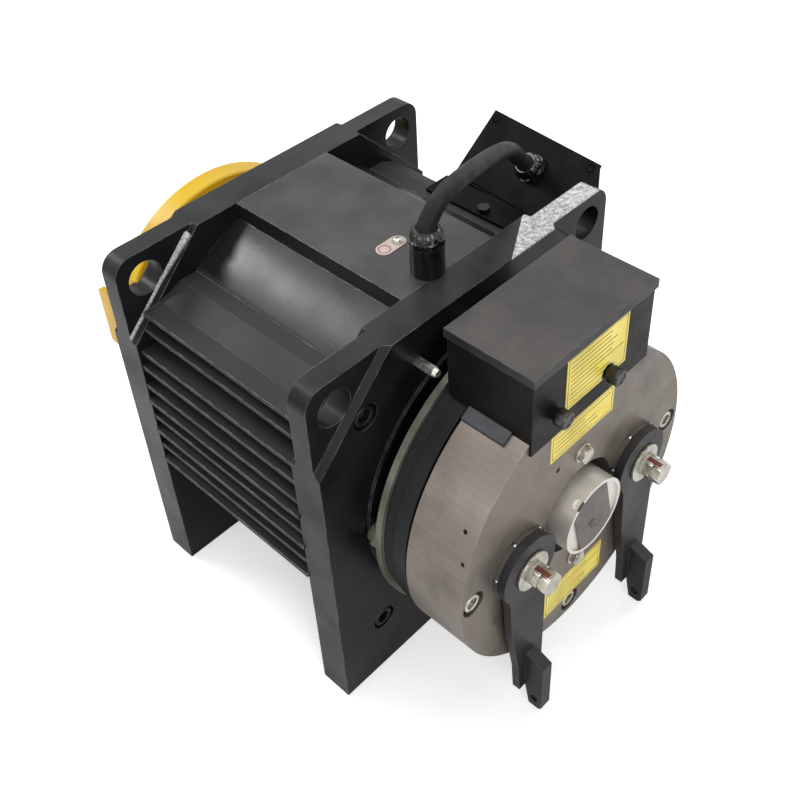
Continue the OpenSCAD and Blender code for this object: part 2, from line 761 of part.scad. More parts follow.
// pack of disc springs as one folded tube
module brake_springs() {
  y0 = y_mg0 - spring_hole_d;
  folds = 7;
  step = (y_ar1 - 0.1 - y0 - 2)/(2*folds);
  color([0.3, 0.31, 0.33]) at_shaft() around([30:60:330], spring_pcr)
    translate([0, y0, 0]) rotate([-90, 0, 0])
    rotate_extrude() polygon(concat(
      [for (k = [0:2*folds]) [k%2 == 0 ? 9.5 : 11.4, 1 + k*step]],
      [[9.5, 2 + 2*folds*step], [4.5, 2 + 2*folds*step]],
      [for (k = [2*folds:-1:0]) [k%2 == 0 ? 4.5 : 6.4, 1 + k*step]],
      [[4.5, 0], [9.5, 0]]));
}
module face_screws() {
  color([0.75, 0.74, 0.68]) at_shaft() for (z = [-1, 1]) translate([0, y_mg1, z*face_screw_off]) {
    translate([0, -2, 0]) hex_screw(5, 17, 6.4, 20);
    ytube(11, 5 + fit, -2, 0);
  }
}
module face_labels() {
  color([0.85, 0.62, 0.1]) at_shaft() {
    translate([-52, y_mg1 - 0.5, 105]) cube([98, 0.5, 36]);
    translate([-47, y_mg1 - 0.5, -148]) cube([99, 0.5, 44]);
  }
}
module release_rings() {
  color([0.5, 0.5, 0.48]) at_shaft() stud_places() difference() {
    ytube(40, 12, y_mg1 - ring_t, y_mg1);
    around([47:60:347], ball_pcr) yrod(ball_r + 0.2, y_mg1 - ring_t - 1, y_mg1 + 1);
  }
}
module release_balls() {
  color([0.85, 0.86, 0.88]) at_shaft() stud_places() around([47:60:347], ball_pcr)
    translate([0, y_mg1 - ball_r, 0]) sphere(r = ball_r);
}

// ---- brake cover box ----
module clear_drum(r) { at_shaft() yrod(r, y_mg1, 0); }
module brake_box_tray() {
  margin = 10;
  foot_h = 24;
  color([0.12, 0.12, 0.125]) difference() {
    union() {
      translate([box_x - box_half + margin, box_y1 + margin - 2, deck_z])
        cube([box_w - 2*margin, box_d - 22, deck_t]);
      for (x = [thumbs[0][0] - foot_w/2, box_x + box_half/2]) translate([x, y_mg1 + 0.5, deck_z - foot_h])
        cube([foot_w, box_d - 44, foot_h]);
    }
    at_shaft() {
      yrod(mag_r + fit, y_mg1 - 10, 0);
      translate([thumbs[0][0], 0, thumbs[0][1]]) yrod(thumb_shank + fit, y_mg1 - 1, y_mg1 + 18);
    }
  }
}
module brake_box_cover() {
  low = shaft_h + mag_r - 35;
  color([0.05, 0.05, 0.055]) difference() {
    union() {
      difference() {
        translate([box_x - box_half, box_y1, low]) cube([box_w, box_d, box_z1 - low - sheet]);
        translate([box_x - box_half + sheet, box_y1 + sheet, low - 1])
         cube([box_w - 2*sheet, box_d - 2*sheet, mag_r]);
      }
    }
    clear_drum(mag_r + 0.4);
    at_shaft() for (p = thumbs)
      translate([p[0], 0, p[1]]) yrod(thumb_shank + 0.5, box_y1 - 1, box_y1 + sheet + 0.3);
  }
}
module brake_box_lid() {
  lip = 10;
  g = 0.2;
  w = box_half + g + sheet;
  color([0.05, 0.05, 0.055]) difference() {
    translate([box_x - w, box_y1 - g - sheet, box_z1 - lip]) cube([2*w, box_d + 2*g + 2*sheet, lip]);
    translate([box_x - box_half - g, box_y1 - g, box_z1 - lip - 1])
     cube([box_w + 2*g, box_d + 2*g, lip + 1 - sheet]);
  }
}
module brake_box_seal() {
  color([0.55, 0.56, 0.57]) intersection() {
    at_shaft() ytube(mag_r + 3, mag_r + fit, y_mg1 + 20, y_mg0);
    union() {
      translate([box_x - box_half - 12, y_mg1 + 19, shaft_h]) cube([11.9, mag_t, mag_r + 10]);
      translate([box_x + box_half + 0.1, y_mg1 + 19, shaft_h]) cube([11.9, mag_t, mag_r + 10]);
    }
  }
}
module thumb_screws() {
  color([0.05, 0.05, 0.05]) at_shaft() for (p = thumbs) translate([p[0], 0, p[1]]) {
    yrod(thumb_r, box_y1 - thumb_len, box_y1);
    yrod(thumb_shank, box_y1 - 1, y_mg1 + 14);
  }
}
module brake_rectifier() {
  color([0.05, 0.05, 0.06]) translate([box_x - rectifier[0]/2, box_y1 + 25, deck_z + deck_t]) difference() {
    cube(rectifier);
    for (k = [0:4]) translate([5 + 13*k, -1, 14]) cube([8, 12, 20]);
  }
}
module box_label() {
  color([0.85, 0.62, 0.1]) at_shaft() difference() {
    translate([-38, box_y1 - 0.5, mag_r - 13]) cube([93, 0.5, box_rise + 2]);
    for (p = thumbs) translate([p[0], 0, p[1]]) yrod(thumb_r + free, box_y1 - 1, box_y1 + 1);
  }
}

// ---- turning parts ----
module shaft() {
  color([0.68, 0.69, 0.7]) at_shaft() difference() {
    union() {
      yrod(22, y_cap + 10, y_mg0);
      yrod(30, y_mg0 - 0.1, y_fl0 - 2);
      yrod(38, y_fl0 - 2, near_brg_y - near_brg_w/2);
      yrod(near_brg_r - fit, near_brg_y - near_brg_w/2 - 0.1, near_brg_y + near_brg_w/2);
      yrod(48, near_brg_y + near_brg_w/2, -in_y + 5);
      yrod(shaft_r, -in_y + 4.9, in_y - 5);
      yrod(50, in_y - 5.1, far_brg_y - far_brg_w/2);
      yrod(far_brg_r - fit, far_brg_y - far_brg_w/2 - 0.1, far_brg_y + far_brg_w/2);
      yrod(42, far_brg_y + far_brg_w/2 - 0.1, shv_y0 - 1);
      yrod(seat_r - fit, shv_y0 - 1.1, hub_y1);
    }
    yrod_groove();
    translate([-8, -60, shaft_r - 5]) cube([16, 120, 20]);
    translate([-8, shv_y0 + 4, seat_r - 5]) cube([16, hub_y1 - shv_y0 - 4 + 1, 20]);
    around([90:120:330], 22) yrod(4 + fit, hub_y1 - 22, hub_y1 + 1);
  }
}
hub_len = 20;
y_hub0 = y_fl0 - 2;
module yrod_groove() { ytube(40, 28.5, y_hub0 - hub_len - 2.2, y_hub0 - hub_len); }
module rotor_hub() {
  half = core_len/2;
  color([0.3, 0.31, 0.32]) at_shaft() difference() {
    rotate([-90, 0, 0]) rotate_extrude() polygon([[shaft_r + fit, -60], [72, -60], [72, -15], [98, -15],
      [98, -half], [magnet_or - 8, -half], [magnet_or - 8, half], [98, half], [98, 15], [72, 15], [72, 60],
      [shaft_r + fit, 60]]);
    around([0:60:300], 85) yrod(9, -20, 20);
    translate([-8, -70, 0]) cube([16, 140, shaft_r + 4]);
  }
}
module rotor_magnets() {
  color([0.5, 0.5, 0.52]) at_shaft() difference() {
    ytube(magnet_or, magnet_or - 8 + fit, -core_len/2, core_len/2);
    for (k = [0:magnets - 1]) rotate([0, k*360/magnets, 0])
      translate([60, -core_len, -2.5]) cube([100, 2*core_len, 5]);
  }
}
module sheave() {
  web_y = shv_y0 + 20;
  color([0.93, 0.72, 0.05]) at_shaft() difference() {
    rotate([-90, 0, 0]) rotate_extrude() difference() {
      polygon([[seat_r, shv_y0 - 1], [64, shv_y0 - 1], [64, web_y], [118, web_y], [120, shv_y0],
        [barrel_r - 1.5, shv_y0], [barrel_r, shv_y0 + 1.5], [barrel_r, flange_y0],
        [sheave_r - 2, flange_y0], [sheave_r, flange_y0 + 2],
        [sheave_r, flange_y1 - 2], [sheave_r - 2, flange_y1],
        [118, flange_y1], [118, shv_y1], [64, shv_y1], [64, hub_y1], [seat_r, hub_y1]]);
      for (k = [-1.5:1:1.5])
        translate([barrel_r, (shv_y0 + flange_y0)/2 + k*groove_pitch]) circle(r = groove_r);
    }
    around([0:60:300], (64 + 118)/2) yrod(17, shv_y0 - 5, shv_y1 + 5);
    translate([-8, shv_y0 - 5, 0]) cube([16, hub_y1 - shv_y0 + 10, seat_r + 4]);
  }
}
module key_bar(r, y0, y1) {
  translate([-8 + fit, y0 + fit, r - 5 + fit]) cube([16 - 2*fit, y1 - y0 - 2*fit, 9 - 2*fit]);
}
module shaft_keys() {
  color([0.5, 0.5, 0.52]) at_shaft() {
    key_bar(shaft_r, -60, 60);
    key_bar(seat_r, shv_y0 + 4, hub_y1);
  }
}
module sheave_retainer() {
  color([0.12, 0.12, 0.12]) at_shaft() difference() {
    yrod(54, hub_y1, hub_y1 + 8);
    around([90:120:330], 22) yrod(4.5, hub_y1 - 1, hub_y1 + 10);
  }
}
module sheave_bolts() {
  color([0.12, 0.12, 0.12]) at_shaft() around([90:120:330], 22)
    translate([0, hub_y1 + 8, 0]) mirror([0, 1, 0])
    hex_screw(4, 13, 5.3, 26);
}
module friction_hub() {
  color([0.55, 0.56, 0.58]) at_shaft() {
    difference() {
      translate([0, y_hub0 - hub_len, 0]) rotate([-90, 0, 0]) cylinder(r = hub_r, h = hub_len, $fn = 12);
      yrod(30 + fit, y_hub0 - hub_len - 1, y_hub0 + 1);
    }
    difference() {
      ytube(35, 28.5 + fit, y_hub0 - hub_len - 2.1, y_hub0 - hub_len);
      translate([0, y_hub0 - hub_len, -32]) cube([8, 10, 12], center = true);
    }
  }
}
module friction_disc() {
  color([0.1, 0.1, 0.1]) at_shaft() difference() {
    union() {
      yrod(disc_r - 4, y_dk1 + 3, y_dk0 - 3);
      ytube(disc_r, 92, y_dk1, y_dk0);
    }
    translate([0, y_dk1 - 1, 0]) rotate([-90, 0, 0]) cylinder(r = hub_r + fit, h = disc_t + 2, $fn = 12);
  }
}
module shaft_cap() {
  color([0.75, 0.75, 0.73]) at_shaft() difference() {
    union() {
      ytube(cap_r, 38, y_cap, y_cap + 34);
      yrod(39, y_cap + 3, y_cap + 10);
      yrod(29, y_cap + 9, y_cap + 34);
    }
    yrod(cap_r - 3.5, y_cap - 1, y_cap + 3);
    yrod(22 + fit, y_cap + 10, y_cap + 40);
    rotate([0, -124.7, 0]) translate([cap_r - 4, y_cap + 3, 0]) rotate([0, 90, 0]) cylinder(r = 6, h = 20);
    translate([0, y_cap, -12]) yrod(2.5 + fit, -1, 9);
  }
}
module cap_panel() {
  at_shaft() {
    color([0.82, 0.82, 0.8]) difference() {
      intersection() {
        yrod(cap_r - 3.7, y_cap + 0.5, y_cap + 3);
        rotate([0, -12.8, 0]) translate([-26, y_cap, -50]) cube([52, 3, 100]);
      }
      translate([0, y_cap, -12]) yrod(3, -1, 9);
    }
    color([0.7, 0.7, 0.7]) translate([0, y_cap + 0.5, -12]) difference() {
      union() {
        ycone(4, 5, -2.8, 0);
        yrod(2.5, -0.5, 8);
      }
      for (a = [0, 90]) rotate([0, a + 20, 0]) translate([-2.6, -3, -0.45]) cube([5.2, 1.6, 0.9]);
    }
  }
}

// ---- sliding armature ----
module armature_plate() {
  color([0.05, 0.05, 0.052]) at_shaft() difference() {
    ytube(mag_r - 3, 56, y_ar1, y_ar0);
    around(brake_angles, brake_screw_r) yrod(sleeve_r + free, y_ar1 - 1, y_ar0 + 1);
    stud_places() yrod(stud_r + fit, y_ar1 - 1, y_ar0 - 3);
  }
}
module release_bolts() {
  color([0.78, 0.78, 0.75]) at_shaft() stud_places() {
    yhex(24, y_nut1 - head_t, y_nut1);
    yrod(stud_r, y_nut1 - 0.1, y_ar0 - 3);
  }
}
module release_nuts() {
  color([0.78, 0.78, 0.75]) at_shaft() stud_places() {
    difference() {
      yhex(24, y_nut1, y_ws1);
      yrod(stud_r + fit, y_nut1 - 1, y_ws1 + 1);
    }
    ytube(22.5, stud_r + fit, y_ws1, y_ws0);
  }
}

// ---- release levers, pivot at x = z = 0 ----
module lever() {
  top = -lever_len + 57;
  low = top - tab_len;
  color([0.1, 0.1, 0.1]) difference() {
    union() {
      translate([-1.5, 0, 1.5]) yrod(lever_head_r, y_lv1, y_lv0);
      yprism(y_lv1, y_lv0)
        polygon([[25, 0], [25, -lever_len], [-11, -lever_len], [-14, -157], [-26, -90],
          [-30, -37], [-33, -15], [-34, 0]]);
      translate([-1.5, 0, 0]) rotate([90, 0, 90]) linear_extrude(height = tab_w)
        polygon([[y_lv0 - 1, top], [y_lv1, top], [y_lv1 - tab_out, top - 9], [y_lv1 - tab_out, low + 4],
          [y_lv1 - tab_out + 4, low], [y_lv1 - 6, low], [y_lv1, -lever_len], [y_lv0 - 1, -lever_len]]);
    }
    yrod(stud_r + free, y_lv1 - 1, y_lv0 + 1);
    translate([-2.5, y_lv1 - tab_out/2 - 1, low + 14]) rotate([0, 90, 0]) cylinder(r = 5, h = tab_w + 2);
  }
}
module lever_left() { translate([-stud_x, 0, shaft_h]) lever(); }
module lever_right() { translate([stud_x, 0, shaft_h]) lever(); }

near_plate();
far_plate();
stator_shell();
stator_core();
stator_windings();
tie_screws();
far_frame_screws();
bearing_outer_rings();
bearing_balls();
near_circlip();
far_bearing_cover();
far_cover_screws();
earth_tag();
clip_post();
gland_bodies();
gland_nuts();
cable();
terminal_box();
terminal_lid();
terminal_lid_screws();
terminal_block();
terminal_bracket();
rope_guard();
bracket_screws();
brake_spacers();
brake_screws();
friction_flange();
dust_ring();
magnet_body();
brake_coil();
brake_springs();
face_screws();
release_rings();
release_balls();
face_labels();
brake_box_tray();
brake_box_cover();
brake_box_lid();
brake_box_seal();
thumb_screws();
brake_rectifier();
box_label();
shaft();
bearing_inner_rings();
rotor_hub();
rotor_magnets();
shaft_keys();
sheave();
sheave_retainer();
sheave_bolts();
friction_hub();
friction_disc();
shaft_cap();
cap_panel();
armature_plate();
release_bolts();
release_nuts();
lever_left();
lever_right();
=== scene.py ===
import json
import logging
import math
from dataclasses import dataclass, replace
from enum import Enum
from typing import Iterable, Sequence

import bmesh
import bpy
from mathutils import Matrix, Vector


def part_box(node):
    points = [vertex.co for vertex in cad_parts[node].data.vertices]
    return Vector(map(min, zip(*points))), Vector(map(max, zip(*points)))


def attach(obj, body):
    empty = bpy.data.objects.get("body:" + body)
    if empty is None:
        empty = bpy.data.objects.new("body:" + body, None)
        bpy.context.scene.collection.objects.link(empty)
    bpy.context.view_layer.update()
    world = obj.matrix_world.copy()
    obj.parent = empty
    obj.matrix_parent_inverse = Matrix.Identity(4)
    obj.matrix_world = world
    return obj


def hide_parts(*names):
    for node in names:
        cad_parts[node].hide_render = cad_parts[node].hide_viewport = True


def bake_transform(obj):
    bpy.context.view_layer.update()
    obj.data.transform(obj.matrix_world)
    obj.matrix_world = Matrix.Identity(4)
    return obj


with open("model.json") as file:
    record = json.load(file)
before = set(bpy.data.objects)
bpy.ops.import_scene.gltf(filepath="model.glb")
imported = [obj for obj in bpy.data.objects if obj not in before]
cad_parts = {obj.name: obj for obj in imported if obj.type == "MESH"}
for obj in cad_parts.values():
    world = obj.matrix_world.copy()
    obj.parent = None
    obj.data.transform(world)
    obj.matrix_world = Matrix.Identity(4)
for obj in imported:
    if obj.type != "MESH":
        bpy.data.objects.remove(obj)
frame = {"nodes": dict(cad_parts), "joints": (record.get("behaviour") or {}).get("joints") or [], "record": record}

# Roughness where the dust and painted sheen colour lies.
DUST_AND_SHEEN_DULLNESS = 0.9
LOG = logging.getLogger("traction_machine")
MM = 0.001
SMOOTH_BELOW = math.radians(35)
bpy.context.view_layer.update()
BODY_OF = {node: body for body, nodes in frame["record"]["behaviour"]["bodies"].items() for node in nodes}
SHAFT_Z = next(joint["pos_m"][2] for joint in frame["joints"] if joint["name"] == "shaft_spin")


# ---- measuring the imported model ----

@dataclass(frozen=True)
class Box:
    """An upright box round one solid, in metres."""

    low: Vector
    high: Vector

    @property
    def centre(self) -> Vector:
        """Middle of the box."""
        return (self.low + self.high) / 2

    @property
    def size(self) -> Vector:
        """Edge lengths of the box."""
        return self.high - self.low

    @property
    def near_end(self) -> Vector:
        """Middle of the face towards -Y."""
        return Vector((self.centre.x, self.low.y, self.centre.z))

    @property
    def far_end(self) -> Vector:
        """Middle of the face towards +Y."""
        return Vector((self.centre.x, self.high.y, self.centre.z))


def node_box(node: str) -> Box:
    """Measures a CAD node.

    Args:
        node: name of the node.

    Returns:
        The box round all of its solids.
    """
    low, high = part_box(node)
    return Box(Vector(low), Vector(high))


def solids(node: str) -> list[Box]:
    """Finds the separate solids of a CAD node.

    Args:
        node: name of the node.

    Returns:
        One box for each solid, sorted by place.
    """
    bm = bmesh.new()
    bm.from_mesh(frame["nodes"][node].data)
    bmesh.ops.remove_doubles(bm, verts=bm.verts, dist=1e-6)
    found, seen = [], set()
    for start in bm.verts:
        if start in seen:
            continue
        island, queue = [], [start]
        seen.add(start)
        while queue:
            vert = queue.pop()
            island.append(vert.co.copy())
            for edge in vert.link_edges:
                other = edge.other_vert(vert)
                if other not in seen:
                    seen.add(other)
                    queue.append(other)
        low = Vector([min(co[k] for co in island) for k in range(3)])
        high = Vector([max(co[k] for co in island) for k in range(3)])
        found.append(Box(low, high))
    bm.free()
    return sorted(found, key=lambda box: tuple(round(c, 4) for c in box.centre))


# ---- mesh helpers ----

Shape = bmesh.types.BMesh


class Section(Enum):
    """Outline of one level of a stacked shape."""

    ROUND = "round"
    HEX = "hexagon, the radius is half the width across flats"
    KNURL = "straight knurl, every second point is sunk"
    RIB = "broad moulded ribs"


HEX, KNURL, RIB = Section.HEX, Section.KNURL, Section.RIB


@dataclass(frozen=True)
class Level:
    """One outline of a stacked shape, in millimetres.

    A hexagon is cut off at cap, as a turned chamfer cuts its corners.
    """

    height: float
    radius: float
    section: Section = Section.ROUND
    cap: float = math.inf


def reach(level: Level, angle: float, turn: int) -> float:
    """Works out how far a level's outline is from its axis.

    Args:
        level: the outline.
        angle: direction of the point, in radians.
        turn: number of the point round the axis.

    Returns:
        The distance in millimetres.
    """
    if level.section is HEX:
        off_flat = (angle % (math.pi / 3)) - math.pi / 6
        return min(level.radius / math.cos(off_flat), level.cap)
    if level.section is KNURL:
        return level.radius - (0.45 if turn % 2 else 0)
    if level.section is RIB:
        return level.radius - (0.9 if turn % 6 in (0, 1) else 0)
    return level.radius


def stacked(levels: Sequence[Level], segments: int = 72, ring: bool = False) -> Shape:
    """Extrudes a circle from level to level along Z.

    Args:
        levels: the outlines in order along the surface.
        segments: points round the axis, a multiple of 12.
        ring: True for a shape with a hole, whose last level meets its first.

    Returns:
        A closed mesh in metres.
    """
    bm = bmesh.new()
    verts = bmesh.ops.create_circle(bm, segments=segments, radius=1)["verts"]
    edges = bm.edges[:]
    turns = {vert: round(math.atan2(vert.co.y, vert.co.x) / (2 * math.pi / segments)) % segments
             for vert in verts}
    rims = [edges]

    def place(level: Level) -> None:
        """Moves the open rim onto a level."""
        for vert, turn in turns.items():
            angle = turn * 2 * math.pi / segments
            r = max(reach(level, angle, turn), 1e-4) * MM
            vert.co = (r * math.cos(angle), r * math.sin(angle), level.height * MM)

    place(levels[0])
    for level in levels[1:]:
        before = {tuple(round(c, 7) for c in vert.co): turn for vert, turn in turns.items()}
        made = bmesh.ops.extrude_edge_only(bm, edges=edges)["geom"]
        new = [item for item in made if isinstance(item, bmesh.types.BMVert)]
        turns = {vert: before[tuple(round(c, 7) for c in vert.co)] for vert in new}
        edges = [item for item in made if isinstance(item,
                                                     bmesh.types.BMEdge) and set(item.verts) <= set(new)]
        place(level)
    rims.append(edges)
    if not ring:
        for rim in rims:
            bmesh.ops.holes_fill(bm, edges=rim)
    bmesh.ops.remove_doubles(bm, verts=bm.verts, dist=1e-7)
    bmesh.ops.recalc_face_normals(bm, faces=bm.faces)
    return bm


def facing(direction: Vector, place: Vector) -> Matrix:
    """Turns +Z to a direction and moves the origin to a place.

    Args:
        direction: where +Z of the shape points.
        place: new place of the shape's origin, in metres.

    Returns:
        The matrix that does both.
    """
    return Matrix.Translation(place) @ direction.to_track_quat("Z", "Y").to_matrix().to_4x4()


def copies(shape: Shape, matrices: Iterable[Matrix], into: Shape | None = None) -> Shape:
    """Repeats a shape.

    Args:
        shape: mesh to repeat, which is freed.
        matrices: one for each copy.
        into: mesh that takes the copies, or a new one.

    Returns:
        The mesh with the copies in it.
    """
    result = into or bmesh.new()
    source = bpy.data.meshes.new("copied")
    shape.to_mesh(source)
    shape.free()
    for matrix in matrices:
        count = len(result.verts)
        result.from_mesh(source)
        result.verts.ensure_lookup_table()
        bmesh.ops.transform(result, matrix=matrix, verts=result.verts[count:])
    bpy.data.meshes.remove(source)
    return result


def block(size: Vector, place: Vector, edge: float = 0.0) -> Shape:
    """Makes a block with rounded edges.

    Args:
        size: edge lengths in metres.
        place: middle of the block in metres.
        edge: width of the rounding in metres.

    Returns:
        The closed mesh.
    """
    bm = bmesh.new()
    bmesh.ops.create_cube(bm, size=1.0)
    bmesh.ops.scale(bm, vec=size, verts=bm.verts)
    if edge:
        bmesh.ops.bevel(bm, geom=bm.edges[:], offset=edge, offset_type="OFFSET", segments=2, profile=0.5,
                        affect="EDGES", material=-1)
    bmesh.ops.translate(bm, vec=place, verts=bm.verts)
    return bm


def linked(name: str, data: bpy.types.ID) -> bpy.types.Object:
    """Puts a new object with this data in the scene."""
    obj = bpy.data.objects.new(name, data)
    bpy.context.scene.collection.objects.link(obj)
    return obj


def cut(obj: bpy.types.Object, cutter: Shape) -> None:
    """Takes a shape out of a piece and keeps the result as its mesh.

    Args:
        obj: the piece.
        cutter: closed shape to take away, which is freed.
    """
    mesh = bpy.data.meshes.new("cutter")
    cutter.to_mesh(mesh)
    cutter.free()
    tool = linked("cutter", mesh)
    modifier = obj.modifiers.new("cut", "BOOLEAN")
    modifier.operation, modifier.solver, modifier.object = "DIFFERENCE", "EXACT", tool
    modifier.use_self = True
    bpy.context.view_layer.update()
    result = bpy.data.meshes.new_from_object(obj.evaluated_get(bpy.context.evaluated_depsgraph_get()))
    obj.modifiers.clear()
    obj.data = result
    bpy.data.objects.remove(tool)
    bpy.data.meshes.remove(mesh)


def smooth(mesh: bpy.types.Mesh) -> None:
    """Shades a mesh smooth where its faces meet at less than SMOOTH_BELOW."""
    mesh.polygons.foreach_set("use_smooth", [True] * len(mesh.polygons))
    mesh.set_sharp_from_angle(angle=SMOOTH_BELOW)


@dataclass(frozen=True)
class Span:
    """Second body and the two ends, in metres, of a piece that joins two bodies."""

    body: str
    start: Vector
    end: Vector


def piece(name: str, bm: Shape, finish: "Finish", like: str, stands_in: bool = True,
          span: Span | None = None) -> bpy.types.Object:
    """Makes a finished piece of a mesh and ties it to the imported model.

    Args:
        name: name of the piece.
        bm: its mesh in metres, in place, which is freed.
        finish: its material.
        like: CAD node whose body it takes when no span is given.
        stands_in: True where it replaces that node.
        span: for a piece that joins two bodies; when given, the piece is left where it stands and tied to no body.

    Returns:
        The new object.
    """
    bmesh.ops.recalc_face_normals(bm, faces=bm.faces)
    mesh = bpy.data.meshes.new(name)
    bm.to_mesh(mesh)
    bm.free()
    smooth(mesh)
    obj = linked(name, mesh)
    mesh.materials.append(finish.material())
    if span:
        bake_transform(obj)
    else:
        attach(obj, BODY_OF[like])
    if stands_in:
        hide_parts(like)
    LOG.info("%s: %d faces on %s", name, len(mesh.polygons), BODY_OF[like])
    return obj


# ---- finishes ----

def linear(colour: str) -> tuple[float, float, float, float]:
    """Turns an sRGB hex colour to the linear values that a socket takes."""
    parts = [int(colour[k:k + 2], 16) / 255 for k in (1, 3, 5)]
    return (*[c / 12.92 if c <= 0.04045 else ((c + 0.055) / 1.055) ** 2.4 for c in parts], 1.0)


Socket = bpy.types.NodeSocket
Tree = bpy.types.NodeTree


def add_node(tree: Tree, kind: str, settings: dict | None = None,
             links: dict | None = None) -> bpy.types.Node:
    """Adds a node to a material.

    Args:
        tree: node tree of the material.
        kind: type of the node without its ShaderNode prefix.
        settings: values by input name or number, or by property name.
        links: output sockets by input name or number.

    Returns:
        The new node.
    """
    node = tree.nodes.new("ShaderNode" + kind)
    inputs = {key for key, value in (settings or {}).items() if isinstance(key, int) or key in node.inputs}
    for key, value in (settings or {}).items():
        if key not in inputs:
            setattr(node, key, value)
    for key in inputs:
        node.inputs[key].default_value = settings[key]
    for key, socket in (links or {}).items():
        tree.links.new(socket, node.inputs[key])
    return node


def bare_tree(owner: bpy.types.Material | bpy.types.World) -> Tree:
    """Empty node tree of a material or world."""
    owner.use_nodes = True
    owner.node_tree.nodes.clear()
    return owner.node_tree


def axes_of(tree: Tree, vector: Socket) -> bpy.types.NodeOutputs:
    """The X, Y and Z outputs of a vector."""
    return add_node(tree, "SeparateXYZ", {}, {0: vector}).outputs


def noise(tree: Tree, where: Socket, size_mm: float, detail: float = 3.0, roughness: float = 0.5) -> Socket:
    """Noise whose patches are about size_mm across."""
    return add_node(tree, "TexNoise", {"Scale": 0.6 / (size_mm * MM), "Detail": detail,
                                       "Roughness": roughness},
                    {"Vector": where}).outputs["Fac"]


def ramp(tree: Tree, value: Socket, low: float, high: float, start: float = 0.0, end: float = 1.0) -> Socket:
    """Value spread from start at low to end at high, and held beyond."""
    return add_node(tree, "MapRange", {"From Min": low, "From Max": high, "To Min": start, "To Max": end},
                    {"Value": value}).outputs["Result"]


def maths(tree: Tree, how: str, first: Socket | float, second: Socket | float = 0.0) -> Socket:
    """One sum on two values, each a socket or a number."""
    values = {k: v for k, v in enumerate((first, second)) if not isinstance(v, Socket)}
    sockets = {k: v for k, v in enumerate((first, second)) if isinstance(v, Socket)}
    return add_node(tree, "Math", {"operation": how, **values}, sockets).outputs[0]


def product(tree: Tree, *factors: Socket | float) -> Socket:
    """All the factors multiplied together."""
    result = factors[0]
    for factor in factors[1:]:
        result = maths(tree, "MULTIPLY", result, factor)
    return result


def between(tree: Tree, value: Socket, low: float, high: float) -> Socket:
    """1 where the value is between low and high, and 0 elsewhere."""
    return product(tree, maths(tree, "GREATER_THAN", value, low), maths(tree, "LESS_THAN", value, high))


def blend_colours(tree: Tree, share: Socket, first: Socket | str, second: Socket | str) -> Socket:
    """Colour that goes from first to second with share; a hex colour may stand for a socket."""
    values = {k: linear(v) for k, v in ((6, first), (7, second)) if isinstance(v, str)}
    sockets = {k: v for k, v in ((6, first), (7, second)) if not isinstance(v, str)}
    return add_node(tree, "Mix", {"data_type": "RGBA", **values}, {0: share, **sockets}).outputs[2]


